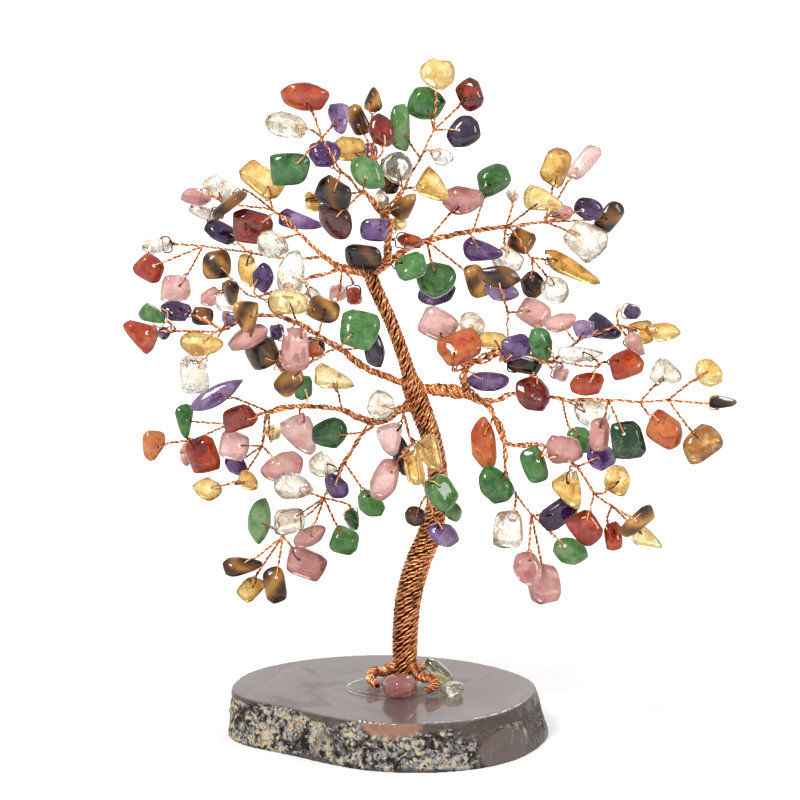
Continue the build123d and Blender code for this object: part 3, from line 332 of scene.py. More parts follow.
# Chips: fork, stone, pixel of the centre, length and width in pixels, fall to the right, outline, and
# how pale the stone is, from 0 to 1, where the photo shows it darker or paler than most of its kind
limbChips = {
    "top": (
        ("left_tip", "carnelian", 306, 96, 48, 29, 0, "oval", 0.55),
        ("left_tip", "clear_quartz", 284, 125, 42, 26, 15, "shard"),
        ("left_tip", "amethyst", 340, 119, 31, 22, 80, "wedge", 0.9),
        ("left_tip", "aventurine", 290, 169, 38, 32, 10, "block", 0.4),
        ("left_mid", "amethyst", 326, 158, 30, 27, 20, "oval"),
        ("left_mid", "tigers_eye", 342, 187, 36, 26, 30, "block", 0.3),
        ("left_low", "aventurine", 359, 176, 38, 27, 40, "oval", 0.8),
        ("left_low", "carnelian", 337, 211, 40, 30, 60, "oval", 0.05),
        ("left_low", "citrine", 315, 208, 20, 16, 90, "block"),
        ("middle", "tigers_eye", 373, 101, 23, 19, -90, "wedge"),
        ("middle", "tigers_eye", 357, 121, 30, 18, 65, "block"),
        ("middle", "carnelian", 381, 130, 34, 24, 70, "oval", 0.2),
        ("middle", "citrine", 351, 150, 31, 24, 10, "block"),
        ("middle", "amethyst", 371, 154, 18, 18, 0, "oval"),
        ("low", "amethyst", 376, 228, 28, 24, 0, "block"),
        ("low", "tigers_eye", 397, 208, 30, 20, -50, "wedge"),
        ("low", "clear_quartz", 383, 202, 22, 14, 90, "shard"),
        ("stem", "citrine", 400, 231, 18, 13, 0, "oval"),
        ("stem", "carnelian", 404, 243, 27, 14, 10, "shard"),
        ("right_low", "tigers_eye", 386, 174, 32, 20, 90, "block", 0.1),
        ("right_low", "clear_quartz", 403, 166, 30, 27, 0, "oval"),
        ("right_low", "citrine", 429, 185, 36, 28, 35, "wedge"),
        ("right_mid", "aventurine", 404, 132, 42, 18, 90, "block", 0.75),
        ("right_mid", "clear_quartz", 442, 157, 22, 19, 20, "oval"),
        ("right_tip", "aventurine", 431, 112, 38, 34, 0, "oval", 0.4),
        ("right_tip", "citrine", 436, 78, 33, 31, 0, "shard"),
        ("right_tip", "carnelian", 468, 93, 30, 24, 70, "block", 0.2),
        ("right_tip", "amethyst", 464, 130, 34, 29, -30, "oval", 0.05),
    ),
    "upper_left": (
        ("root", "carnelian", 357, 292, 18, 13, 90, "block"),
        ("root", "rose_quartz", 344, 293, 18, 15, 0, "block"),
        ("high", "citrine", 260, 189, 42, 28, 40, "block"),
        ("high", "carnelian", 255, 224, 40, 34, 15, "block", 0.25),
        ("high", "amethyst", 293, 214, 44, 20, 12, "wedge"),
        ("high", "tigers_eye", 237, 200, 40, 10, -38, "block"),
        ("far", "clear_quartz", 217, 188, 32, 26, 20, "shard"),
        ("far", "rose_quartz", 195, 198, 30, 16, 10, "oval"),
        ("far", "clear_quartz", 204, 212, 32, 16, 20, "oval"),
        ("out", "amethyst", 223, 233, 38, 22, 25, "oval", 0.15),
        ("out", "citrine", 247, 270, 34, 20, 80, "oval"),
        ("middle", "clear_quartz", 272, 245, 32, 28, 30, "shard"),
        ("tip", "clear_quartz", 157, 245, 32, 15, -10, "oval"),
        ("tip", "carnelian", 149, 268, 28, 26, 35, "block", 0.45),
        ("tip", "rose_quartz", 176, 288, 29, 28, 0, "block"),
        ("brown", "tigers_eye", 219, 271, 28, 28, 0, "block"),
        ("brown", "tigers_eye", 229, 287, 26, 16, 80, "wedge"),
        ("brown", "rose_quartz", 211, 297, 24, 18, -40, "oval"),
        ("brown", "clear_quartz", 229, 303, 28, 19, 15, "block"),
        ("under", "clear_quartz", 290, 275, 46, 28, 100, "oval"),
        ("under", "clear_quartz", 311, 299, 31, 24, 90, "shard"),
        ("end", "amethyst", 266, 278, 29, 21, 90, "oval"),
        ("end", "carnelian", 270, 301, 26, 21, 30, "shard", 0.4),
    ),
    "upper_right": (
        ("near", "rose_quartz", 464, 199, 41, 30, 10, "oval", 0.4),
        ("near", "aventurine", 438, 274, 42, 33, -12, "oval", 0.6),
        ("near", "amethyst", 438, 294, 42, 26, -10, "oval"),
        ("near", "tigers_eye", 475, 281, 34, 22, 75, "block", 0.9),
        ("middle", "aventurine", 493, 181, 34, 26, -20, "block", 0.5),
        ("middle", "amethyst", 483, 253, 40, 22, 10, "wedge"),
        ("far", "citrine", 543, 200, 42, 24, 15, "wedge"),
        ("far", "clear_quartz", 513, 195, 14, 10, 20, "shard"),
        ("far", "tigers_eye", 520, 243, 27, 25, 30, "block", 0.8),
        ("far", "clear_quartz", 510, 258, 28, 24, 30, "block"),
        ("tip", "citrine", 556, 167, 36, 26, -65, "block"),
        ("tip", "rose_quartz", 585, 162, 40, 18, -50, "block"),
        ("tip", "rose_quartz", 562, 213, 24, 19, 0, "oval"),
        ("tip", "amethyst", 587, 214, 32, 22, 5, "oval", 0.15),
        ("tip", "tigers_eye", 607, 225, 34, 22, -50, "block"),
        ("tip", "clear_quartz", 580, 245, 38, 34, 40, "block"),
        ("drop", "citrine", 566, 264, 60, 22, 25, "wedge", 0.25),
        ("drop", "tigers_eye", 537, 281, 30, 24, 90, "oval", 0.1),
        ("drop", "clear_quartz", 561, 285, 28, 26, 30, "shard"),
    ),
    "mid_left": (
        ("near", "amethyst", 373, 347, 42, 22, 75, "oval", 0.0),
        ("near", "aventurine", 353, 326, 36, 34, 20, "block", 0.65),
        ("fan", "tigers_eye", 331, 314, 28, 26, 20, "block"),
        ("fan", "tigers_eye", 315, 345, 20, 15, 10, "block"),
        ("drop", "carnelian", 313, 352, 18, 15, 20, "wedge"),
        ("drop", "carnelian", 284, 369, 22, 14, 70, "oval"),
        ("drop", "tigers_eye", 298, 373, 32, 24, -45, "block", 0.8),
        ("drop", "tigers_eye", 264, 356, 32, 30, 60, "block", 0.2),
        ("top", "citrine", 290, 311, 36, 23, 5, "block"),
        ("top", "rose_quartz", 291, 346, 41, 26, 90, "block"),
        ("top", "amethyst", 276, 331, 14, 14, 0, "block"),
        ("out", "tigers_eye", 245, 318, 32, 26, 80, "wedge", 0.8),
        ("out", "rose_quartz", 249, 338, 42, 20, -25, "oval"),
        ("far", "tigers_eye", 206, 322, 20, 18, 0, "block", 0.3),
        ("far", "amethyst", 225, 318, 18, 13, -10, "wedge"),
        ("far", "citrine", 198, 341, 45, 23, 8, "oval"),
        ("far", "amethyst", 181, 316, 30, 20, 5, "oval"),
        ("far", "clear_quartz", 195, 376, 38, 28, 90, "block"),
        ("tip", "amethyst", 167, 327, 13, 11, 20, "oval"),
        ("tip", "aventurine", 153, 318, 26, 16, 25, "wedge", 0.6),
        ("tip", "carnelian", 139, 332, 38, 25, -150, "wedge"),
    ),
    "lower_left": (
        ("across", "citrine", 331, 380, 38, 25, 15, "wedge"),
        ("middle", "aventurine", 307, 387, 23, 18, 90, "block", 0.6),
        ("middle", "rose_quartz", 300, 430, 40, 34, 60, "wedge"),
        ("down", "aventurine", 331, 432, 37, 30, -35, "oval", 0.35),
        ("out", "amethyst", 217, 395, 54, 20, -30, "oval"),
        ("out", "carnelian", 242, 418, 34, 26, -15, "block", 0.42),
        ("under", "rose_quartz", 243, 448, 30, 28, 15, "block"),
        ("out", "citrine", 268, 440, 18, 13, 0, "oval"),
        ("far", "aventurine", 185, 421, 34, 19, 85, "wedge", 0.5),
        ("tip", "carnelian", 153, 447, 30, 25, 100, "wedge", 1.0),
        ("tip", "carnelian", 204, 455, 36, 31, 70, "block", 0.45),
        ("tip", "rose_quartz", 186, 455, 26, 14, 90, "oval"),
        ("under", "amethyst", 235, 464, 25, 18, 30, "oval"),
        ("under", "rose_quartz", 277, 462, 46, 31, -20, "oval"),
        ("under_tip", "citrine", 250, 479, 24, 18, 50, "shard"),
        ("under_tip", "citrine", 208, 489, 30, 22, 20, "shard"),
        ("drop", "clear_quartz", 320, 463, 28, 26, 30, "shard"),
        ("drop", "amethyst", 336, 483, 28, 22, 60, "oval"),
        ("drop", "aventurine", 370, 504, 33, 26, 50, "oval", 0.7),
        ("fan", "clear_quartz", 298, 488, 40, 27, 10, "oval"),
        ("fan", "clear_quartz", 289, 519, 32, 27, -10, "block"),
        ("fan", "rose_quartz", 314, 537, 34, 21, -25, "oval"),
        ("fan", "aventurine", 342, 538, 29, 27, 20, "block", 0.75),
        ("fan", "aventurine", 350, 522, 22, 14, 70, "wedge", 0.35),
        ("end", "aventurine", 260, 521, 46, 26, 95, "oval", 0.9),
        ("end", "tigers_eye", 243, 566, 38, 20, -8, "wedge"),
        ("end", "citrine", 250, 589, 26, 21, -50, "block"),
        ("end", "tigers_eye", 275, 585, 34, 22, 80, "block"),
        ("end", "rose_quartz", 307, 563, 37, 30, 20, "block"),
    ),
    "right": (
        ("rise", "rose_quartz", 440, 326, 36, 32, 30, "block"),
        ("rise", "clear_quartz", 472, 325, 30, 25, 40, "shard"),
        ("rise", "carnelian", 458, 345, 38, 31, -30, "block", 0.75),
        ("rise", "amethyst", 482, 378, 42, 20, 0, "shard"),
        ("rise_mid", "citrine", 494, 341, 26, 17, 5, "block"),
        ("rise_mid", "amethyst", 521, 348, 30, 25, -20, "block"),
        ("rise_mid", "tigers_eye", 525, 367, 32, 16, 10, "block", 0.0),
        ("rise_up", "tigers_eye", 500, 276, 38, 24, 10, "oval", 0.3),
        ("rise_up", "amethyst", 504, 295, 34, 20, 15, "oval"),
        ("rise_up", "rose_quartz", 531, 313, 30, 28, 35, "block"),
        ("rise_out", "clear_quartz", 543, 358, 17, 14, 90, "shard"),
        ("rise_out", "aventurine", 549, 344, 36, 24, 75, "oval", 0.5),
        ("rise_out", "rose_quartz", 559, 374, 15, 14, 30, "block"),
        ("rise_fan", "rose_quartz", 559, 324, 34, 18, -10, "oval"),
        ("rise_fan", "amethyst", 585, 337, 22, 20, 20, "shard", 0.95),
        ("rise_fan", "amethyst", 609, 331, 36, 25, 25, "wedge", 0.1),
        ("rise_low", "clear_quartz", 585, 355, 42, 17, -5, "wedge"),
        ("rise_low", "carnelian", 594, 378, 36, 23, -8, "oval", 0.6),
        ("rise_low", "carnelian", 621, 359, 32, 28, -20, "block", 0.6),
        ("rise_tip", "amethyst", 632, 316, 17, 13, 10, "oval"),
        ("rise_tip", "citrine", 637, 334, 24, 22, 0, "block"),
        ("rise_tip", "citrine", 661, 330, 32, 19, 5, "oval"),
        ("rise_tip", "rose_quartz", 634, 349, 24, 14, 55, "wedge"),
        ("level", "carnelian", 539, 388, 37, 33, 60, "oval", 0.25),
        ("level_far", "clear_quartz", 584, 411, 36, 28, 20, "shard"),
        ("level_far", "aventurine", 581, 441, 28, 26, 60, "oval", 0.65),
        ("level_out", "rose_quartz", 600, 434, 32, 20, 100, "block"),
        ("level_out", "aventurine", 627, 441, 34, 30, 80, "block", 0.0),
        ("level_tip", "clear_quartz", 668, 373, 28, 26, 20, "wedge", 0.4),
        ("level_tip", "carnelian", 664, 431, 36, 31, 30, "block", 0.75),
        ("level_end", "citrine", 708, 373, 28, 26, 40, "oval"),
        ("level_end", "tigers_eye", 724, 402, 28, 12, 0, "wedge", 0.0),
        ("level_end", "citrine", 701, 443, 38, 29, -35, "block", 0.05),
        ("knot", "carnelian", 484, 444, 54, 24, 82, "shard", 0.85),
        ("shelf", "aventurine", 537, 463, 34, 22, 75, "block", 0.55),
        ("shelf", "rose_quartz", 564, 452, 32, 29, 0, "block"),
        ("green", "aventurine", 500, 490, 40, 29, 50, "oval", 0.4),
        ("lower", "clear_quartz", 509, 532, 36, 29, 90, "block"),
        ("foot", "amethyst", 550, 519, 36, 24, -35, "block", 0.15),
        ("foot", "rose_quartz", 525, 564, 36, 28, 70, "oval"),
        ("foot", "rose_quartz", 549, 578, 36, 31, 80, "block"),
        ("foot", "aventurine", 569, 553, 38, 28, 20, "oval", 0.75),
        ("corner", "citrine", 572, 492, 36, 30, 60, "wedge"),
        ("corner", "amethyst", 598, 458, 28, 27, 30, "oval"),
        ("outer", "citrine", 617, 480, 32, 26, 70, "oval"),
        ("outer", "carnelian", 589, 527, 34, 29, 60, "block", 0.4),
        ("outer_tip", "carnelian", 610, 537, 26, 17, 80, "block", 0.55),
        ("outer_tip", "tigers_eye", 638, 521, 38, 17, -38, "block", 0.9),
        ("outer_tip", "citrine", 647, 539, 30, 20, 25, "wedge"),
    ),
    "centre": (
        ("crown", "tigers_eye", 367, 255, 33, 24, 10, "block", 0.1),
        ("crown", "rose_quartz", 362, 270, 30, 14, 10, "oval"),
        ("crown", "aventurine", 408, 258, 33, 26, -15, "block", 0.6),
        ("sprig", "clear_quartz", 390, 406, 32, 27, 80, "shard"),
        ("sprig", "rose_quartz", 386, 437, 34, 30, 80, "wedge"),
        ("sprig_low", "rose_quartz", 387, 474, 40, 27, -65, "oval"),
        ("sprig_low", "tigers_eye", 400, 456, 40, 18, 75, "shard", 0.0),
        ("sprig_low", "citrine", 413, 468, 32, 18, 80, "block"),
        ("sprig_low", "citrine", 430, 458, 36, 26, 60, "wedge"),
        ("sprig_end", "aventurine", 441, 489, 32, 28, 60, "block", 0.7),
        ("sprig_end", "tigers_eye", 420, 519, 24, 20, 40, "oval", 0.05),
        ("sprig_end", "amethyst", 440, 531, 33, 23, 20, "oval", 0.85),
        ("sprig_end", "aventurine", 452, 514, 20, 15, 70, "oval", 0.9),
    ),
}


# Stone finishes: colours from the darkest chips to the palest, and how the light gets through
stoneLooks = {
    "carnelian": {
        "tones": ((0.0, (0.06, 0.003, 0.002)), (0.3, (0.28, 0.01, 0.003)),
                  (0.6, (0.54, 0.05, 0.006)), (1.0, (0.76, 0.26, 0.06))),
        "cloud": (0.75, 0.25, 0.06), "cloudShare": 0.3, "speck": (0.1, 0.01, 0.005),
        "through": 0.35, "under": 0.05, "roughness": 0.05, "grain": 230.0, "facets": 0.25, "vein": 0.3},
    "citrine": {
        "tones": ((0.0, (0.34, 0.12, 0.01)), (0.3, (0.74, 0.4, 0.06)),
                  (0.65, (0.9, 0.68, 0.24)), (1.0, (0.94, 0.82, 0.5))),
        "cloud": (0.92, 0.82, 0.56), "cloudShare": 0.4, "speck": (0.45, 0.2, 0.03),
        "through": 0.72, "under": 0.05, "roughness": 0.05, "grain": 330.0, "facets": 0.5, "vein": 0.5},
    "amethyst": {
        "tones": ((0.0, (0.014, 0.003, 0.024)), (0.3, (0.055, 0.01, 0.09)),
                  (0.65, (0.15, 0.055, 0.24)), (1.0, (0.44, 0.3, 0.5))),
        "cloud": (0.55, 0.46, 0.6), "cloudShare": 0.2, "speck": (0.01, 0.005, 0.02),
        "through": 0.5, "under": 0.0, "roughness": 0.04, "grain": 260.0, "facets": 0.4, "vein": 0.3},
    "aventurine": {
        "tones": ((0.0, (0.004, 0.03, 0.006)), (0.3, (0.018, 0.12, 0.018)),
                  (0.65, (0.085, 0.27, 0.05)), (1.0, (0.27, 0.42, 0.17))),
        "cloud": (0.4, 0.52, 0.32), "cloudShare": 0.25, "speck": (0.01, 0.06, 0.02),
        "through": 0.3, "under": 0.05, "roughness": 0.06, "grain": 300.0, "facets": 0.16, "vein": 0.2},
    "rose_quartz": {
        "tones": ((0.0, (0.36, 0.1, 0.1)), (0.4, (0.68, 0.31, 0.27)),
                  (0.75, (0.82, 0.5, 0.45)), (1.0, (0.88, 0.7, 0.65))),
        "cloud": (0.9, 0.74, 0.7), "cloudShare": 0.4, "speck": (0.5, 0.22, 0.2),
        "through": 0.55, "under": 0.1, "roughness": 0.05, "grain": 220.0, "facets": 0.28, "vein": 0.25},
    "clear_quartz": {
        "tones": ((0.0, (0.42, 0.3, 0.18)), (0.35, (0.76, 0.66, 0.5)),
                  (0.6, (0.93, 0.88, 0.78)), (1.0, (0.99, 0.98, 0.95))),
        "cloud": (0.98, 0.96, 0.92), "cloudShare": 0.4, "speck": (0.3, 0.22, 0.14),
        "through": 0.86, "under": 0.0, "roughness": 0.03, "grain": 260.0, "facets": 0.95, "vein": 0.95},
}


# What those stones share: cracks inside, clouds, veins and specks
innerLook = {
    "cracks": 300.0, "driftShare": 1.1, "fineScale": 5, "veilScale": 0.7, "cloudEdges": (0.52, 0.68),
    "veinLevel": 0.46, "veinEdges": (0.003, 0.022), "speckShare": 0.7, "speckEdges": (0.6, 0.72),
    "dullest": 2.0, "glossiest": 0.7, "dullEdges": (0.35, 0.75),
    "driftBump": 0.7, "crackBump": 0.6, "bumpDepth": 0.0002, "bumpShare": 0.7,
}


def stoneFinish(name, look):
    finish = Finish(name, Roughness=look["roughness"], Transmission_Weight=look["through"],
                    Subsurface_Weight=look["under"], Subsurface_Radius=(0.8, 0.5, 0.4),
                    Subsurface_Scale=0.0012, IOR=1.5, Specular_IOR_Level=0.45, Coat_Weight=0.15,
                    Coat_Roughness=0.02)
    where = finish.where()
    tone = finish.attribute("chipTone")
    drift = finish.noise(where, look["grain"], 4.0, 0.8)
    fine = finish.noise(where, look["grain"] * innerLook["fineScale"], 3.0)
    # flat cracks inside the stone each throw the light back a little differently
    facet = finish.split(finish.node("ShaderNodeTexVoronoi", {}, {
        "Vector": where, "Scale": innerLook["cracks"], "Randomness": 1.0}, "Color"), "X")
    level = tone + (drift - 0.5) * innerLook["driftShare"] + (facet - 0.5) * look["facets"]
    colour = finish.ramp(level, *look["tones"])
    veil = finish.noise(where, look["grain"] * innerLook["veilScale"], 5.0, 1.6, 0.6)
    cloud = finish.spread(veil, 0.0, 1.0, *innerLook["cloudEdges"])
    colour = finish.mix(cloud * look["cloudShare"], colour, (*look["cloud"], 1.0))
    besideVein = (veil - innerLook["veinLevel"]).maths("ABSOLUTE", 0.0)
    vein = finish.spread(besideVein, look["vein"], 0.0, *innerLook["veinEdges"])
    colour = finish.mix(vein, colour, (*look["speck"], 1.0))
    speck = finish.spread(fine, 0.0, innerLook["speckShare"], *innerLook["speckEdges"])
    colour = finish.mix(speck, colour, (*look["speck"], 1.0))
    finish.feed("Base Color", colour)
    glossy, dull = (look["roughness"] * innerLook[name] for name in ("glossiest", "dullest"))
    finish.feed("Roughness", finish.spread(fine, glossy, dull, *innerLook["dullEdges"]))
    height = drift * innerLook["driftBump"] + facet * look["facets"] * innerLook["crackBump"]
    finish.bump(height, innerLook["bumpDepth"], innerLook["bumpShare"])
    return finish.material


# Tiger's eye: silky bands across the chip, with fine fibres in them
tigerLook = {
    "band": 0.075, "wobble": 220.0, "fibre": 1100.0, "darker": 0.36,
    "shares": {"band": 0.42, "wobble": 0.5, "tone": 0.5, "fibre": 0.1},
    "tones": ((0.1, (0.01, 0.004, 0.002)), (0.34, (0.06, 0.021, 0.005)),
              (0.56, (0.24, 0.09, 0.014)), (0.82, (0.58, 0.3, 0.06))),
    "roughness": (0.16, 0.08), "bumpDepth": 0.00015, "bumpShare": 0.6,
}


def tigersEyeFinish():
    finish = Finish("tigers_eye", Specular_IOR_Level=0.4, Coat_Weight=0.1, Coat_Roughness=0.03)
    tone = finish.attribute("chipTone")
    grainWay = finish.attribute("chipPlace", "Vector")
    where = finish.where()
    wobble = finish.noise(where, tigerLook["wobble"], 3.0, 0.4)
    band = finish.node("ShaderNodeTexWave", {"wave_type": "BANDS", "bands_direction": "DIAGONAL"}, {
        "Vector": grainWay, "Scale": tigerLook["band"], "Distortion": 3.5, "Detail": 3.0,
        "Detail Scale": 1.2}, "Fac")
    fibre = finish.noise(where, tigerLook["fibre"], 2.0)
    shares = tigerLook["shares"]
    level = (band * shares["band"] + wobble * shares["wobble"] + tone * shares["tone"]
             + fibre * shares["fibre"] - tigerLook["darker"])
    finish.feed("Base Color", finish.ramp(level, *tigerLook["tones"]))
    finish.feed("Roughness", finish.spread(band, *tigerLook["roughness"]))
    finish.bump(wobble, tigerLook["bumpDepth"], tigerLook["bumpShare"])
    return finish.material


stoneFinishes = {name: stoneFinish(name, look) for name, look in stoneLooks.items()}
stoneFinishes["tigers_eye"] = tigersEyeFinish()

# Copper wire: random patches and a tone for each wire run from a painted shade, nearly black, through
# copper brown to a painted highlight of pale copper
wireLook = {
    "paintedHighlight": (0.95, 0.5, 0.24), "worn": (0.46, 0.135, 0.045), "paintedShade": (0.035, 0.006, 0.002),
    "roughness": 0.22, "patch": 260.0, "patchShare": 0.8, "toneShare": 0.5, "stops": (0.16, 0.42, 0.76),
    "dull": (0.42, 0.2), "dullEdges": (0.3, 0.7), "scratch": 2600.0, "scratchDepth": 0.00002,
    "tones": ((0.0, 0.25), (0.65, 1.0)),  # of the two wires of a pair, one towards the painted shade and one towards the painted highlight
    # how far each finish is pushed towards the painted shade, the rope cores furthest
    "darkShares": {"copper_wire": 0.1, "loop_wire": 0.2, "gap_shade_wire": 0.75},
}


def wireFinish(name):
    finish = Finish(name, Metallic=1.0, Roughness=wireLook["roughness"])
    where = finish.where()
    tone = finish.attribute("wireTone")
    patch = finish.noise(where, wireLook["patch"], 3.0, 0.4)
    level = tone * wireLook["toneShare"] + patch * wireLook["patchShare"] - wireLook["darkShares"][name]
    colours = [wireLook[shade] for shade in ("paintedShade", "worn", "paintedHighlight")]
    finish.feed("Base Color", finish.ramp(level, *zip(wireLook["stops"], colours)))
    finish.feed("Roughness", finish.spread(patch, *wireLook["dull"], *wireLook["dullEdges"]))
    finish.bump(finish.noise(where, wireLook["scratch"], 2.0), wireLook["scratchDepth"], 0.5)
    return finish.material


# the third finish, far darker, is painted shade for the cores of the ropes
copper, loopCopper, shadeCoreCopper = (wireFinish(name) for name in wireLook["darkShares"])
print("finishes made:", len(bpy.data.materials))


# Drilled chips
chipLook = {
    "length": 8.5, "width": 6.5, "thickness": 4.2, "lengthPixels": 34, "widthPixels": 26,
    "fullness": (0.72, 1.2), "thinPixels": 17, "edgeOnShare": 0.85,
    "tones": (0.3, 0.85), "leans": (-24, 12, 26, -12, 18, -18, 0), "smoothAngle": 50,
    "hole": 0.8, "holeInset": 2.1, "insetShare": 0.75,
    "swell": (1.13, 1.14, 1.0), "lumps": (0.07, 0.07, 0.03), "notch": (0.86, 1.1), "thinning": 0.3,
    "crease": (0.05, 0.62), "levels": 2, "lumpScale": 1.7, "drillReach": 1.3,
    "lumpShifts": ((9.3, -1.5, -8.0), (-7.1, 3.4, 5.2), (2.6, 8.7, -4.3)),
    "awayShare": 0.02,  # how much a solid's distance from its pixel counts beside its size
}


def chipFrame(angle, turn):
    fall, lean = math.radians(angle), math.radians(turn)
    longWay = toRight * math.cos(fall) - toTop * math.sin(fall)
    towards = -intoPhoto
    side = towards.cross(longWay)
    face = towards * math.cos(lean) + side * math.sin(lean)
    return longWay, face.cross(longWay), face


def readChip(limb, order, row):
    fork, stone, xPixel, yPixel, lengthPixels, widthPixels, angle, outline, *shown = row
    look = chipLook
    longWay, side, face = chipFrame(angle, look["leans"][order % len(look["leans"])])
    fullness = min(max(widthPixels / look["widthPixels"], look["fullness"][0]), look["fullness"][1])
    edgeOn = widthPixels < look["thinPixels"]
    halfThick = look["width"] / 2 * look["edgeOnShare"] if edgeOn else look["thickness"] / 2 * fullness
    half = Vector((look["length"] / 2 * lengthPixels / look["lengthPixels"],
                   look["width"] / 2 * widthPixels / look["widthPixels"], halfThick))
    axes = Matrix((longWay, side, face)).transposed()
    random.seed(xPixel * 1000 + yPixel)
    tone = random.uniform(*look["tones"])
    return {"limb": limb, "fork": fork, "stone": stone, "outline": outline, "edgeOn": edgeOn,
            "axes": axes, "half": half, "holeWay": side if edgeOn else face,
            "tone": shown[0] if shown else tone, "seed": random.uniform(0, 1000),
            "pixel": (xPixel, yPixel)}


def chipRings(chip):  # the corners of the chip's solid, ring by ring, in its own axes
    half = chip["half"]
    return [[Vector((half.x * x * spread, half.y * y * spread, half.z * height))
             for x, y in outlineShares[chip["outline"]]] for height, spread in ringShares]


def boxOf(points):
    lows = [min(p[i] for p in points) for i in range(3)]
    highs = [max(p[i] for p in points) for i in range(3)]
    return Vector(lows), Vector(highs)


def islands(bm):  # the vertices of each separate shell
    seen = set()
    for first in bm.verts:
        if first in seen:
            continue
        seen.add(first)
        queue, island = [first], []
        while queue:
            vert = queue.pop()
            island.append(vert)
            for edge in vert.link_edges:
                other = edge.other_vert(vert)
                if other not in seen:
                    seen.add(other)
                    queue.append(other)
        yield island


def islandBoxes(nodeName):  # the box of each separate solid of a CAD node, in millimetres
    obj = mergedCopy(nodeName, "lookUp")
    bm = bmesh.new()
    bm.from_mesh(obj.data)
    boxes = [boxOf([vert.co / mm for vert in island]) for island in islands(bm)]
    bm.free()
    bpy.data.objects.remove(obj)
    return boxes


def placeChips(chips, nodeName):  # each chip's middle, from the solid that has its very size
    boxes = islandBoxes(nodeName)
    for chip in chips:
        low, high = boxOf([chip["axes"] @ corner for ring in chipRings(chip) for corner in ring])
        sightPoint = place(*chip["pixel"], 0.0)
        sightWay = (sightPoint - eye).normalized()

        def misfit(box):
            middle = (box[0] + box[1]) / 2 - (low + high) / 2
            away = middle - eye
            aside = (away - sightWay * away.dot(sightWay)).length
            return ((box[1] - box[0]) - (high - low)).length + chipLook["awayShare"] * aside

        box = min(boxes, key=misfit)
        boxes.remove(box)
        chip["place"] = (box[0] + box[1]) / 2 - (low + high) / 2
        chip["misfit"] = misfit(box)


allChips = []
nodeChips = {}
for limb, rows in limbChips.items():
    for order, row in enumerate(rows):
        chip = readChip(limb, order, row)
        allChips.append(chip)
        nodeChips.setdefault(f"{limb}_{chip['stone']}", []).append(chip)
for nodeName, chips in nodeChips.items():
    placeChips(chips, nodeName)
print("chips placed:", len(allChips), "largest misfit", round(max(c["misfit"] for c in allChips), 3))


def makePebble(outline):  # one disc of eight points, raised and swelled ring by ring
    deselectAll()
    bpy.ops.mesh.primitive_circle_add(vertices=len(outlineShares[outline]), radius=1, fill_type="NGON")
    obj = bpy.context.object
    bpy.ops.object.mode_set(mode="EDIT")
    bm = bmesh.from_edit_mesh(obj.data)

    def around(point):
        return math.atan2(point[1], point[0]) % math.tau

    corners = sorted(outlineShares[outline], key=around)
    for vert, corner in zip(sorted(bm.verts, key=lambda v: (around(v.co) + 0.01) % math.tau), corners):
        vert.co = (corner[0] * ringShares[0][1], corner[1] * ringShares[0][1], ringShares[0][0])
    bmesh.update_edit_mesh(obj.data)
    bpy.ops.mesh.select_all(action="SELECT")
    for (low, narrow), (high, wide) in zip(ringShares, ringShares[1:]):
        bpy.ops.mesh.extrude_region_move(TRANSFORM_OT_translate={"value": (0, 0, high - low)})
        bpy.ops.transform.resize(value=(wide / narrow, wide / narrow, 1), center_override=(0, 0, 0))
    bpy.ops.mesh.select_all(action="SELECT")
    bpy.ops.mesh.normals_make_consistent(inside=False)
    bpy.ops.object.mode_set(mode="OBJECT")
    mesh = obj.data.copy()
    bpy.data.objects.remove(obj)
    return mesh


def makeDrill():
    deselectAll()
    bpy.ops.mesh.primitive_cylinder_add(vertices=12, radius=chipLook["hole"] / 2, depth=2)
    obj = bpy.context.object
    mesh = obj.data.copy()
    bpy.data.objects.remove(obj)
    return mesh


def chipReach(chip, way):  # from the chip's middle to its surface along a way in its own axes
    rings = chipRings(chip)
    reach = chip["half"].x * 2
    for low, high in zip(rings, rings[1:]):
        for index, corner in enumerate(low):
            normal = (low[(index + 1) % len(low)] - corner).cross(high[index] - corner)
            if normal.length > 0 and normal.dot(way) > 0:
                reach = min(reach, normal.dot(corner) / normal.dot(way))
    return min(reach, chip["half"].z / abs(way.z)) if abs(way.z) > 0 else reach


# The loop through each chip, in millimetres: room to the chip, how far it reaches out, and its corners
loopLook = {
    "room": 0.45, "neck": 1.13, "leastAway": 0.25, "tuck": 0.18, "corner": 0.1, "tail": 0.5, "legs": 1.03,
    "lead": 0.9,
}


def leafEnds(chip, knot):  # where the rim, the hole and the twig's end lie on the way to the knot
    away = knot - chip["place"]
    way = away - chip["holeWay"] * away.dot(chip["holeWay"])
    way = chip["axes"].col[0].copy() if way.length < loopLook["leastAway"] else way
    way.normalize()
    rim = chipReach(chip, chip["axes"].transposed() @ way)
    inset = min(chipLook["holeInset"], rim * chipLook["insetShare"])
    halfGrip = chip["half"].y if chip["edgeOn"] else chip["half"].z
    chip.update({"way": way, "hole": rim - inset, "grip": halfGrip + loopLook["room"],
                 "turn": rim + loopLook["room"], "end": rim + loopLook["neck"]})


pebbles = {outline: makePebble(outline) for outline in outlineShares}
drill = makeDrill()


def axesMatrix(axes, middle, scale):
    return Matrix.Translation(middle * mm) @ axes.to_4x4() @ Matrix.Diagonal((*(Vector(scale) * mm), 1.0))


def addMesh(bm, mesh, matrix):
    copy = mesh.copy()
    copy.transform(matrix)
    bm.from_mesh(copy)
    bpy.data.meshes.remove(copy)


def toMesh(bm, name):
    mesh = bpy.data.meshes.new(name)
    bm.to_mesh(mesh)
    bm.free()
    return mesh


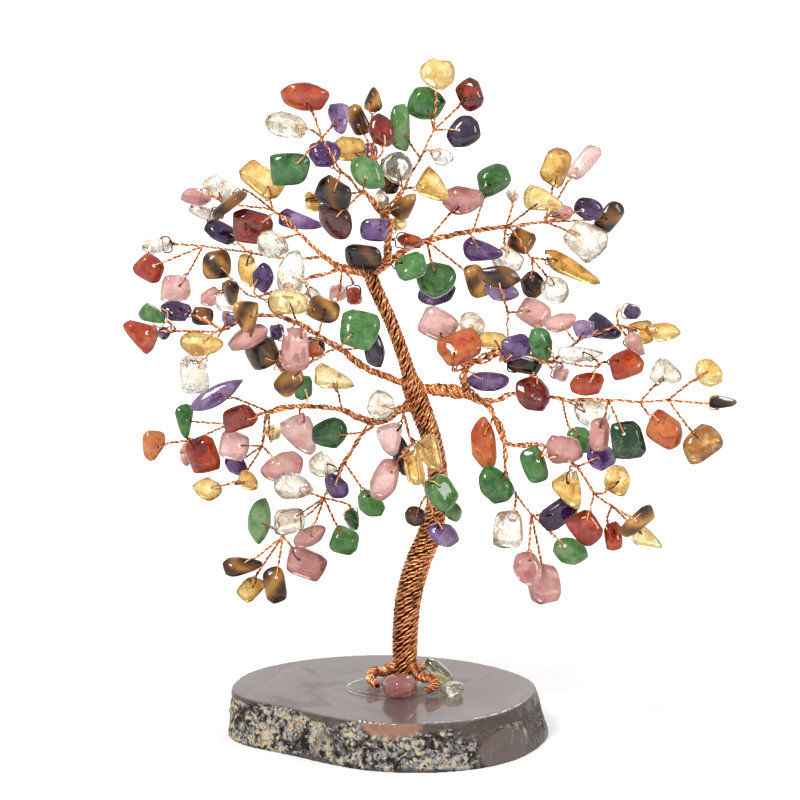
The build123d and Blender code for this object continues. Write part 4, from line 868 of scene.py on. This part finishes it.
def roughen(pebble, seed):  # no two chips are alike: corners pushed in or out, one side thinner
    random.seed(seed)
    corners = len(pebble.vertices) // len(ringShares)
    pushes = [random.uniform(*chipLook["notch"]) for corner in range(corners)]
    thinSide = random.uniform(0, math.tau)
    lumps = Vector(chipLook["lumps"])
    ways = sorted(range(len(pebble.vertices)), key=lambda i: math.atan2(*pebble.vertices[i].co.yx))
    column = {index: order // len(ringShares) for order, index in enumerate(ways)}
    for index, vert in enumerate(pebble.vertices):
        push = pushes[column[index]]
        out = vert.co.x * math.cos(thinSide) + vert.co.y * math.sin(thinSide)
        spot = vert.co * chipLook["lumpScale"] + Vector((seed, 0, 0))
        # not noise_vector, which gives other values in every run
        lump = Vector([noise.noise(spot + Vector(shift)) for shift in chipLook["lumpShifts"]]) * lumps
        thin = 1 - chipLook["thinning"] * max(0.0, out)
        vert.co = (vert.co.x * push, vert.co.y * push, vert.co.z * thin)
        vert.co += lump
    creases = pebble.attributes.new("crease_edge", "FLOAT", "EDGE")

    def ends(edge):  # edges go by where they lie, because Blender lists them differently each run
        return sorted(tuple(pebble.vertices[index].co) for index in edge.vertices)

    for edge in sorted(pebble.edges, key=ends):
        creases.data[edge.index].value = random.uniform(*chipLook["crease"])


def layChips(nodeName, chips):
    stones, drills = bmesh.new(), bmesh.new()
    for chip in chips:
        pebble = pebbles[chip["outline"]].copy()
        roughen(pebble, chip["seed"])
        size = chip["half"] * Vector(chipLook["swell"])
        addMesh(stones, pebble, axesMatrix(chip["axes"], chip["place"], size))
        bpy.data.meshes.remove(pebble)
        holeAxes = chip["axes"]
        halfGrip = chip["half"].z
        if chip["edgeOn"]:
            longWay, side, face = chip["axes"].col
            holeAxes = Matrix((longWay, -face, side)).transposed()
            halfGrip = chip["half"].y
        middle = chip["place"] + chip["way"] * chip["hole"]
        addMesh(drills, drill, axesMatrix(holeAxes, middle, (1, 1, halfGrip * chipLook["drillReach"])))
    obj = newObject(nodeName + "_chips", toMesh(stones, nodeName + "_chips"))
    cutter = newObject("drills", toMesh(drills, "drills"))
    finishModifier(obj, "SUBSURF", levels=chipLook["levels"], render_levels=chipLook["levels"])
    finishModifier(obj, "BOOLEAN", operation="DIFFERENCE", solver="EXACT", object=cutter)
    bpy.data.objects.remove(cutter)
    mesh = obj.data
    tones = mesh.attributes.new("chipTone", "FLOAT", "POINT")
    places = mesh.attributes.new("chipPlace", "FLOAT_VECTOR", "POINT")
    for index, vert in enumerate(mesh.vertices):
        spot = vert.co / mm
        chip = min(chips, key=lambda c: (spot - c["place"]).length_squared / c["half"].x)
        tones.data[index].value = chip["tone"]
        inChip = chip["axes"].transposed() @ (spot - chip["place"])
        places.data[index].vector = inChip + Vector((chip["seed"], 0, 0))
    pickOnly(obj)
    bpy.ops.object.shade_smooth_by_angle(angle=math.radians(chipLook["smoothAngle"]))
    return obj


# Wires
wireDims = {
    "wire": 0.4, "looseness": 1.06, "pairPitch": 2.7, "step": 0.36, "packing": 0.75, "chipsPerWire": 5,
    "twigBend": 0.6,
}
pairRadius = wireDims["wire"] * wireDims["looseness"]
hingeForks = {"top": "crown", "upper_left": "crown", "upper_right": "crown",
              "mid_left": "main", "lower_left": "lower", "right": "main"}
knots = {"crown": (place(371, 277, 0.0), 4.4), "main": (place(413, 388, 0.0), 6.4),
         "lower": (place(421, 410, 0.01), 6.2)}
hinges = {joint["child"]: Vector(joint["pos_m"]) / mm for joint in frame["joints"]}


def chipsOn(limb, name):
    return sum(1 for row in limbChips[limb] if row[0] == name)


def chipsBeyond(limb, name):
    further = [fork for fork, row in limbForks[limb].items() if row[0] == name]
    return chipsOn(limb, name) + sum(chipsBeyond(limb, fork) for fork in further)


def stemRadius(limb, name):
    wires = max(1.0, chipsBeyond(limb, name) / wireDims["chipsPerWire"])
    return pairRadius if wires == 1.0 else pairRadius * math.sqrt(wires / wireDims["packing"])


def forkPlace(limb, name):
    return place(*limbForks[limb][name][1:])


def smoothLine(points, radii, step):  # a rounded line through the points, evenly divided
    line, widths = [], []
    count = len(points)
    for index in range(count - 1):
        before, start = points[max(index - 1, 0)], points[index]
        end, after = points[index + 1], points[min(index + 2, count - 1)]
        parts = max(2, int((end - start).length / step))
        for part in range(parts):
            t = part / parts
            line.append(0.5 * (2 * start + (end - before) * t
                               + (2 * before - 5 * start + 4 * end - after) * t * t
                               + (3 * start - before - 3 * end + after) * t ** 3))
            widths.append(radii[index] + (radii[index + 1] - radii[index]) * t)
    return line + [points[-1]], widths + [radii[-1]]


def framesAlong(line):  # sideways directions that don't spin along the line
    frames = []
    tangent = (line[1] - line[0]).normalized()
    side = tangent.orthogonal().normalized()
    for index in range(len(line)):
        ahead = line[min(index + 1, len(line) - 1)] - line[max(index - 1, 0)]
        tangent = ahead.normalized()
        side = (side - tangent * side.dot(tangent)).normalized()
        frames.append((side, tangent.cross(side)))
    return frames


def winding(line, radii, lay, phase):  # a line that winds round another one
    wound, angle = [], phase
    frames = framesAlong(line)
    for index, (point, radius) in enumerate(zip(line, radii)):
        if index > 0:
            angle += (point - line[index - 1]).length / lay * math.tau
        side, other = frames[index]
        wound.append(point + (side * math.cos(angle) + other * math.sin(angle)) * radius)
    return wound


class WireCoil:  # collects wires as curves, and makes one mesh of them
    def __init__(self, name, thickness=wireDims["wire"] / 2, rounds=1):
        self.curve = bpy.data.curves.new(name, "CURVE")
        self.curve.dimensions = "3D"
        self.curve.bevel_depth = thickness * mm
        self.curve.bevel_resolution = rounds
        self.curve.use_fill_caps = True
        self.curve.resolution_u = 3
        self.name = name

    def lay(self, points, kind="POLY"):
        spline = self.curve.splines.new(kind)
        spline.points.add(len(points) - 1)
        for target, point in zip(spline.points, points):
            target.co = (*(point * mm), 1.0)
        if kind == "NURBS":
            spline.order_u = 3
            spline.use_endpoint_u = True

    def pair(self, line, phase=0.0):  # two wires twisted round each other
        half = [wireDims["wire"] / 2] * len(line)
        for turn in (0.0, math.pi):
            self.lay(winding(line, half, wireDims["pairPitch"], phase + turn))

    def make(self):
        obj = newObject(self.name, self.curve)
        pickOnly(obj)
        bpy.ops.object.convert(target="MESH")
        obj = bpy.context.object
        obj.name = self.name
        deselectAll()
        return obj


def toneWires(obj, seed):  # one tone for each wire: of two twisted ones, one leans to the painted shade and the other to the painted highlight
    bm = bmesh.new()
    bm.from_mesh(obj.data)
    bmesh.ops.recalc_face_normals(bm, faces=bm.faces)
    layer = bm.verts.layers.float.new("wireTone")
    random.seed(seed)
    for index, island in enumerate(islands(bm)):
        tone = random.uniform(*wireLook["tones"][index % 2])
        for vert in island:
            vert[layer] = tone
    bm.to_mesh(obj.data)
    bm.free()
    pickOnly(obj)
    bpy.ops.object.shade_smooth()
    deselectAll()


# How unevenly the strands of a rope lie, and over how many points that is evened out
ropeLook = {"turnDrift": (-0.12, 0.12), "radiusDrift": (0.93, 1.03), "evened": 4}


def layStrands(coil, line, radii, count, lay, seed):  # a rope of twisted pairs
    random.seed(seed)
    for strand in range(count):
        phase = math.tau * strand / count + random.uniform(*ropeLook["turnDrift"])
        offsets = [max(radius - pairRadius, 0.0) * random.uniform(*ropeLook["radiusDrift"])
                   for radius in radii]
        smooth = []
        for index in range(len(offsets)):
            near = offsets[max(index - ropeLook["evened"], 0):index + ropeLook["evened"] + 1]
            smooth.append(sum(near) / len(near))
        coil.pair(winding(line, smooth, lay, phase), random.uniform(0, math.tau))


def limbChain(limb, name):  # forks from the limb's start out to this one
    chain = [name]
    while limbForks[limb][chain[0]][0] not in ("hinge", "none"):
        chain.insert(0, limbForks[limb][chain[0]][0])
    return chain


def limbStart(limb):
    if limb == "centre":
        knot, width = knots["main"]
        return knot + (forkPlace("centre", "sprig") - knot).normalized() * width / 2
    return hinges[limb]


# A limb's bundle: wires a little thinner than the rest, and strands that lie more or less loosely;
# each starts the golden angle further round
bundleLook = {"wireShare": 0.46, "lay": 9.0, "layDrift": (0.85, 1.5), "looseness": (0.85, 1.35),
              "extraShare": 0.35, "spread": 2.4}


def makeBundles(limb):
    coil = WireCoil(limb + "_bundle", wireDims["wire"] * bundleLook["wireShare"])
    random.seed(len(limbForks[limb]))
    phases = {}
    for name in limbForks[limb]:
        own = chipsOn(limb, name)
        if own == 0 or name == "crown":
            continue
        chain = limbChain(limb, name)
        points = [limbStart(limb)] + [forkPlace(limb, fork) for fork in chain]
        radii = [stemRadius(limb, chain[0])] + [stemRadius(limb, fork) for fork in chain]
        line, widths = smoothLine(points, radii, wireDims["step"])
        strands = max(1, round(own / wireDims["chipsPerWire"] + bundleLook["extraShare"]))
        for strand in range(strands):
            phase = phases.get(chain[0], 0.0)
            phases[chain[0]] = phase + bundleLook["spread"]
            loose = random.uniform(*bundleLook["looseness"])
            offsets = [max(width - pairRadius, 0.0) * loose for width in widths]
            lay = bundleLook["lay"] * random.uniform(*bundleLook["layDrift"])
            coil.pair(winding(line, offsets, lay, phase), phase)
    return coil.make()


def bentTwig(start, corner, end):  # a twig that leaves its knot, bends and meets the loop squarely
    line = []
    bend = wireDims["twigBend"]
    count = max(6, int(((corner - start).length + (end - corner).length) / wireDims["step"]))
    for part in range(count + 1):
        t = part / count
        line.append(start * (1 - t) ** 3 + (start * (1 - bend) + corner * bend) * 3 * t * (1 - t) ** 2
                    + corner * 3 * t * t * (1 - t) + end * t ** 3)
    return line


def makeTwigs(limb):
    twigs = WireCoil(limb + "_twigs")
    loops = WireCoil(limb + "_loops")
    leg = wireDims["wire"] / 2 * loopLook["legs"]
    tail, corner = loopLook["tail"], loopLook["corner"]
    for chip in (c for c in allChips if c["limb"] == limb):
        def spot(out, rise):
            return chip["place"] + chip["way"] * out + chip["holeWay"] * rise

        grip = chip["grip"] - loopLook["tuck"]
        front = [(chip["end"] + tail, leg), (chip["end"], leg), (chip["turn"], leg),
                 (chip["turn"] - corner, grip), (chip["hole"] + tail, grip), (chip["hole"], grip)]
        back = [(out, -rise) for out, rise in reversed(front)]
        loops.lay([spot(out, rise) for out, rise in front + [(chip["hole"], 0)] + back], "NURBS")
        knot = forkPlace(limb, chip["fork"])
        line = bentTwig(knot, spot(chip["end"] + loopLook["lead"], 0), spot(chip["end"] - corner, 0))
        twigs.pair(line, chip["seed"])
    return twigs.make(), loops.make()


for chip in allChips:
    leafEnds(chip, forkPlace(chip["limb"], chip["fork"]))

for nodeName, chips in nodeChips.items():
    piece = layChips(nodeName, chips)
    finishPiece(piece, stoneFinishes[chips[0]["stone"]],
                "root" if chips[0]["limb"] == "centre" else chips[0]["limb"], chips[0]["stone"], nodeName)
print("chips drilled:", len(nodeChips), "groups")

for number, limb in enumerate(limbForks):
    body = "root" if limb == "centre" else limb
    bundle = makeBundles(limb)
    twigs, loops = makeTwigs(limb)
    for obj, finish, seed in ((bundle, copper, 1), (twigs, copper, 2), (loops, loopCopper, 3)):
        toneWires(obj, number * 10 + seed)
        finishPiece(obj, finish, body, "copper_wire", limb + "_wires")
print("limbs wired")


# Trunk, leader and roots
trunkLook = {
    "points": (((405, 684, 0.14), 3.9), ((405, 676, 0.14), 3.5), ((405, 660, 0.13), 3.3),
               ((405, 636, 0.12), 3.45), ((408, 600, 0.11), 3.6), ((417, 565, 0.1), 3.5),
               ((430, 532, 0.08), 3.35), ((437, 500, 0.06), 2.9), ((437, 468, 0.05), 2.8),
               ((430, 435, 0.03), 2.8), ((421, 410, 0.01), 3.0), ((413, 388, 0.0), 3.1),
               ((408, 376, 0.0), 2.2)),
    "strands": 14, "lay": 17.0, "coreInset": 0.9, "seed": 5,
}
leaderLook = {
    "points": (((414, 392, 0.0), 2.6), ((409, 374, 0.0), 2.1), ((402, 352, 0.0), 1.9),
               ((390, 320, 0.0), 1.9), ((377, 292, 0.0), 1.95), ((371, 277, 0.0), 2.1),
               ((369, 271, 0.0), 1.5)),
    "strands": 9, "lay": 13.0, "coreInset": 0.9, "seed": 6,
}
# Each root's path: pixel of the photo, depth share and height above its resting place on the slice
rootLook = {
    "paths": (
        ((400, 655, 0.13, 5.2), (391, 670, 0.13, 2.2), (383, 672, 0.13, 1.4), (375, 673, 0.1, 1.9),
         (371, 679, 0.0, 1.2), (377, 685, -0.08, 0.0)),
        ((410, 655, 0.13, 5.2), (417, 672, 0.06, 2.2), (424, 675, 0.0, 1.4), (432, 676, -0.06, 1.9),
         (435, 684, -0.14, 1.0), (427, 690, -0.17, 0.0)),
        ((402, 655, 0.16, 5.2), (398, 669, 0.26, 1.4), (393, 667, 0.33, 0.0), (386, 664, 0.38, 0.0)),
        ((409, 655, 0.16, 5.2), (413, 668, 0.27, 1.4), (417, 667, 0.33, 0.0), (424, 664, 0.38, 0.0))),
    "radius": 1.45, "tip": 1.05, "strands": 8, "lay": 6.5, "slice": 12.0, "seed": 20, "toneSeed": 30,
}


def makeRope(name, look):
    points = [place(*spot) for spot, radius in look["points"]]
    radii = [radius for spot, radius in look["points"]]
    line, widths = smoothLine(points, radii, wireDims["step"])
    coil = WireCoil(name)
    layStrands(coil, line, widths, look["strands"], look["lay"], look["seed"])
    rope = coil.make()
    # a core inside the strands stands for the inner wires; its much darker copper is painted shade in the
    # gaps
    inner = WireCoil(name + "_core", 1.0, 3)
    inner.lay(line)
    for target, width in zip(inner.curve.splines[0].points, widths):
        target.radius = width - look["coreInset"]
    return rope, inner.make()


for name, look in (("trunk", trunkLook), ("leader", leaderLook)):
    for obj, finish in zip(makeRope(name, look), (copper, shadeCoreCopper)):
        toneWires(obj, look["seed"])
        finishPiece(obj, finish, "root", "copper_wire", name + "_rope")

roots = WireCoil("roots")
for number, path in enumerate(rootLook["paths"]):
    points = []
    for *spot, rise in path:
        spot = place(*spot)
        points.append(Vector((spot.x, spot.y, rootLook["slice"] + rootLook["radius"] + rise)))
    radii = [rootLook["radius"]] * (len(points) - 1) + [rootLook["tip"]]
    line, widths = smoothLine(points, radii, wireDims["step"])
    layStrands(roots, line, widths, rootLook["strands"], rootLook["lay"], rootLook["seed"] + number)
roots = roots.make()
toneWires(roots, rootLook["toneSeed"])
finishPiece(roots, copper, "root", "copper_wire", "trunk_rope")

# Where a limb leaves the trunk its wires run on into the rope
neckLook = {"reach": 5.5, "inside": 1.6, "lay": 7.0, "radii": (0.8, 1.08, 0.95), "strandShare": 2.6,
            "bendEnd": 1.5, "seed": 40, "toneSeed": 50}
for number, (limb, fork) in enumerate(hingeForks.items()):
    knot, width = knots[fork]
    hinge = hinges[limb]
    first = next(name for name, row in limbForks[limb].items() if row[0] == "hinge")
    away = forkPlace(limb, first) - hinge
    out = hinge + away.normalized() * min(neckLook["reach"], away.length)
    begin = knot + (hinge - knot).normalized() * neckLook["inside"]
    radius = stemRadius(limb, first)
    line, widths = smoothLine([begin, hinge, out], [radius * share for share in neckLook["radii"]],
                              wireDims["step"])
    coil = WireCoil(limb + "_neck")
    strands = max(3, round(radius / pairRadius * neckLook["strandShare"]))
    layStrands(coil, line, widths, strands, neckLook["lay"], neckLook["seed"] + number)
    neck = coil.make()
    toneWires(neck, neckLook["toneSeed"] + number)
    neck.data.materials.clear()
    neck.data.materials.append(copper)
    tuple((knot + (hinge - knot).normalized() * width / 2) * mm)
    tuple((hinge + away.normalized() * neckLook["bendEnd"]) * mm)
    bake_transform(neck)
    neck.select_set(False)
print("trunk, roots and necks wound")


def roundedCopy(node, name, voxel, rounds):  # a CAD node's shape in small even faces, its edges worn
    obj = mergedCopy(node, name)
    finishModifier(obj, "REMESH", mode="VOXEL", voxel_size=voxel * mm, use_smooth_shade=True)
    finishModifier(obj, "SMOOTH", factor=0.5, iterations=rounds)
    return obj


# Agate slice
sliceLook = {
    "top": 12.0, "voxel": 0.5, "rounds": 3, "smoothAngle": 35, "rindDepth": 0.55, "sink": 0.25,
    "footEdge": 0.6, "topEdge": 0.45, "footFade": 1.5, "topFade": 1.2,
    "lumps": 0.28, "grit": 1.6, "gritShare": 0.25, "lumpShare": 0.8,
}
# Its stone, with heights and edges in metres: bands under the polish, a mottled rind, and bare agate
# below the rim and above the foot
agateLook = {
    "faceEdges": (0.0116, 0.01195), "bands": 60.0, "warp": 22.0,
    "polished": ((0.2, (0.094, 0.066, 0.06)), (0.45, (0.125, 0.093, 0.086)),
                 (0.65, (0.155, 0.12, 0.112)), (0.9, (0.21, 0.17, 0.16))),
    "grain": 1300.0, "grainWarp": 500.0, "warpShare": 0.0016, "region": 150.0, "regionShare": 2.0,
    "mottled": ((0.12, (0.02, 0.012, 0.009)), (0.3, (0.085, 0.06, 0.045)), (0.42, (0.2, 0.205, 0.21)),
                (0.54, (0.4, 0.39, 0.36)), (0.66, (0.66, 0.56, 0.38)), (0.8, (0.52, 0.34, 0.15)),
                (0.95, (0.07, 0.05, 0.04))),
    "zone": 45.0, "zoneEdges": (0.56, 0.64), "zoneColour": (0.11, 0.085, 0.075, 1.0),
    "rimEdges": (0.0102, 0.011), "footEdges": (0.0008, 0.0018), "bareDrift": 0.012,
    "bareColour": (0.1, 0.075, 0.068, 1.0),
    "smooth": (510, 748, -0.6), "smoothEdges": (0.0085, 0.0105), "smoothFlat": 2.0,
    "smoothColour": (0.17, 0.13, 0.12, 1.0),
    "salmon": (392, 724, -0.72), "salmonEdges": (0.007, 0.0085), "salmonFlat": 2.6,
    "salmonColour": (0.42, 0.22, 0.14, 1.0), "spotDrift": 0.006,
    "rough": 0.6, "smoothest": 0.2, "bumpDepth": 0.0011, "mirrorShare": 0.16,
}


def sliceFinish():
    look = agateLook
    finish = Finish("agate", IOR=1.5, Specular_IOR_Level=0.12)
    where = finish.where()
    height = finish.split(where, "Z")
    face = finish.spread(height, 0.0, 1.0, *look["faceEdges"])
    warp = finish.noise(where, look["warp"], 3.0, 0.6)
    bands = (finish.vector("LENGTH", where) * look["bands"] + warp * 1.6).maths("FRACT", 0.0)
    polished = finish.ramp(finish.spread(bands, 0.0, 1.0) * 0.25 + warp * 0.9, *look["polished"])
    drawn = finish.node("ShaderNodeTexNoise", {}, {
        "Vector": where, "Scale": look["grainWarp"], "Detail": 2.0}, "Color")
    warped = finish.node("ShaderNodeMix", {"data_type": "VECTOR"}, {
        0: look["warpShare"], 4: where, 5: drawn}, 1)
    grain = finish.node("ShaderNodeTexVoronoi", {}, {"Vector": warped, "Scale": look["grain"]}, "Color")
    region = finish.noise(where, look["region"], 5.0, 0.8, 0.65)
    pick = finish.split(grain, "X") * 0.5 + region * look["regionShare"] - 0.84
    rind = finish.ramp(pick, *look["mottled"])
    zone = finish.noise(where, look["zone"], 3.0, 0.8)
    rind = finish.mix(finish.spread(zone, 0.0, 0.85, *look["zoneEdges"]), rind, look["zoneColour"])
    drift = (zone - 0.5) * look["bareDrift"]
    bare = finish.spread(height + drift, 0.0, 0.9, *look["rimEdges"]).maths(
        "MAXIMUM", finish.spread(height - drift, 0.9, 0.0, *look["footEdges"]))
    rind = finish.mix(bare, rind, look["bareColour"])

    def near(name):  # how near a point is to a spot on the rim
        spot = finish.vector("SUBTRACT", where, place(*look[name]) * mm)
        away = finish.vector("LENGTH", finish.vector("MULTIPLY", spot, (1.0, 1.0, look[name + "Flat"])))
        drifting = away + (region - 0.5) * look["spotDrift"]
        return finish.spread(drifting, 1.0, 0.0, *look[name + "Edges"])

    smooth = near("smooth")
    rind = finish.mix(smooth, rind, look["smoothColour"])
    rind = finish.mix(near("salmon") * 0.85, rind, look["salmonColour"])
    finish.feed("Base Color", finish.mix(face, rind, polished))
    polish = smooth.maths("MAXIMUM", bare * 0.9)
    finish.feed("Roughness", finish.spread(polish, look["rough"], look["smoothest"]))
    rough = finish.split(grain, "Y") * 0.5 + region * 0.5
    finish.bump(rough * (1.0 - face) * (1.0 - polish), look["bumpDepth"], 1.0)
    # the polished top mirrors what stands on it
    finish.polish(face * look["mirrorShare"], (0.95, 0.9, 0.88), 0.03)
    return finish.material


stone = roundedCopy("agate_base", "agate_slice", sliceLook["voxel"], sliceLook["rounds"])
for vert in stone.data.vertices:
    spot = vert.co / mm
    aboveFoot = spot.z - sliceLook["footEdge"]
    belowTop = sliceLook["top"] - sliceLook["topEdge"] - spot.z
    if aboveFoot > 0 and belowTop > 0:
        edge = min(1.0, aboveFoot / sliceLook["footFade"], belowTop / sliceLook["topFade"])
        out = Vector((vert.normal.x, vert.normal.y, 0))
        lumps = noise.fractal(spot * sliceLook["lumps"], 1.0, 2.0, 4) * sliceLook["lumpShare"]
        rough = lumps + noise.noise(spot * sliceLook["grit"]) * sliceLook["gritShare"]
        vert.co += out * (rough - sliceLook["sink"]) * sliceLook["rindDepth"] * edge * mm
pickOnly(stone)
bpy.ops.object.shade_smooth_by_angle(angle=math.radians(sliceLook["smoothAngle"]))
finishPiece(stone, sliceFinish(), "root", "agate", "agate_base")
print("slice made")


# Stones and glue at the foot
greenGlass = dict(stoneLooks["clear_quartz"], through=0.8, tones=(
    (0.0, (0.12, 0.15, 0.05)), (0.4, (0.34, 0.38, 0.16)),
    (0.7, (0.6, 0.64, 0.4)), (1.0, (0.8, 0.82, 0.62))))
footLook = {
    "foot_rose_quartz": {
        "finish": stoneFinishes["rose_quartz"], "tone": 0.3, "voxel": 0.34, "rounds": 30},
    "foot_aventurine": {
        "finish": stoneFinish("aventurine_clear", greenGlass), "tone": 0.2, "voxel": 0.3, "rounds": 24},
    "foot_clear_quartz": {
        "finish": stoneFinishes["clear_quartz"], "tone": 0.6, "voxel": 0.3, "rounds": 20},
}
for node, look in footLook.items():
    obj = roundedCopy(node, node + "_stone", look["voxel"], look["rounds"])
    tones = obj.data.attributes.new("chipTone", "FLOAT", "POINT")
    tones.data.foreach_set("value", [look["tone"]] * len(obj.data.vertices))
    finishPiece(obj, look["finish"], "root", node.removeprefix("foot_"), node)

glueLook = {"voxel": 0.25, "rounds": 4, "ripple": 240.0, "bumpDepth": 0.0004, "bumpShare": 0.6,
            "tones": ((0.3, (0.86, 0.84, 0.78)), (0.7, (0.95, 0.94, 0.92)))}
glueFinish = Finish("glue", Transmission_Weight=0.95, Roughness=0.03, IOR=1.4, Alpha=0.4)
ripple = glueFinish.noise(glueFinish.where(), glueLook["ripple"], 3.0, 0.5)
glueFinish.feed("Base Color", glueFinish.ramp(ripple, *glueLook["tones"]))
glueFinish.bump(ripple, glueLook["bumpDepth"], glueLook["bumpShare"])
glue = roundedCopy("glue_pool", "glue", glueLook["voxel"], glueLook["rounds"])
finishPiece(glue, glueFinish.material, "root", "glue", "glue_pool")
print("foot stones and glue made")


# Floor, light and camera
studio = {
    "floorSize": 4.0, "floor": (0.8, 0.8, 0.8), "lift": 0.3, "liftEdges": (0.08, 0.35), "world": 0.48,
    "lampAim": (0, 0, 0.09),
    "lamps": {"key": ((-0.5, -0.7, 0.9), 0.3, 8.5), "fill": ((0.8, -0.5, 0.5), 0.3, 2.4),
              "back": ((0.25, 0.9, 0.7), 0.4, 3.0)},  # place, size and power
}


def watchedRays(tree):  # 1 for the picture, metal and glass, which see a white ground
    rays = tree.nodes.new("ShaderNodeLightPath")
    level = Level(tree, rays.outputs["Is Camera Ray"])
    for kind in ("Is Glossy Ray", "Is Transmission Ray"):
        level = level.maths("MAXIMUM", Level(tree, rays.outputs[kind]))
    return level


deselectAll()
bpy.ops.mesh.primitive_plane_add(size=studio["floorSize"], location=(0, 0, 0))
floor = bpy.context.object
floor.name = "floor"
floorFinish = Finish("floor", Roughness=0.9)
floorFinish.shader.inputs["Base Color"].default_value = (*studio["floor"], 1.0)
floorFinish.shader.inputs["Emission Strength"].default_value = 1.0
# the ground is lit up less near the slice, so that it still takes the shadow there
away = floorFinish.vector("LENGTH", floorFinish.where())
lit = floorFinish.spread(away, studio["lift"], 1.0, *studio["liftEdges"])
floorFinish.feed("Emission Color", watchedRays(floorFinish.tree) * lit)
floor.data.materials.append(floorFinish.material)

world = bpy.data.worlds.new("studio")
bpy.context.scene.world = world
world.use_nodes = True
nodes, links = world.node_tree.nodes, world.node_tree.links
soft, white = nodes["Background"], nodes.new("ShaderNodeBackground")
blend = nodes.new("ShaderNodeMixShader")
soft.inputs["Color"].default_value = (1, 1, 1, 1)
soft.inputs["Strength"].default_value = studio["world"]
white.inputs["Color"].default_value = (1, 1, 1, 1)
links.new(watchedRays(world.node_tree).socket, blend.inputs[0])
links.new(soft.outputs[0], blend.inputs[1])
links.new(white.outputs[0], blend.inputs[2])
links.new(blend.outputs[0], nodes["World Output"].inputs[0])

for name, (spot, size, power) in studio["lamps"].items():
    lamp = bpy.data.lights.new(name, "AREA")
    lamp.size = size
    lamp.energy = power
    obj = newObject(name, lamp)
    obj.location = spot
    obj.rotation_euler = (Vector(studio["lampAim"]) - Vector(spot)).to_track_quat("-Z", "Y").to_euler()

lens = bpy.data.cameras.new("photoView")
lens.sensor_width = camera["sensor"]
lens.lens = camera["sensor"] * camera["distance"] / camera["frameWidth"]
lens.clip_start = 0.01
cameraObject = newObject("photoView", lens)
cameraObject.location = eye * mm
cameraObject.rotation_euler = intoPhoto.to_track_quat("-Z", "Y").to_euler()
bpy.context.scene.camera = cameraObject
bpy.context.scene.view_settings.view_transform = "Standard"

deselectAll()
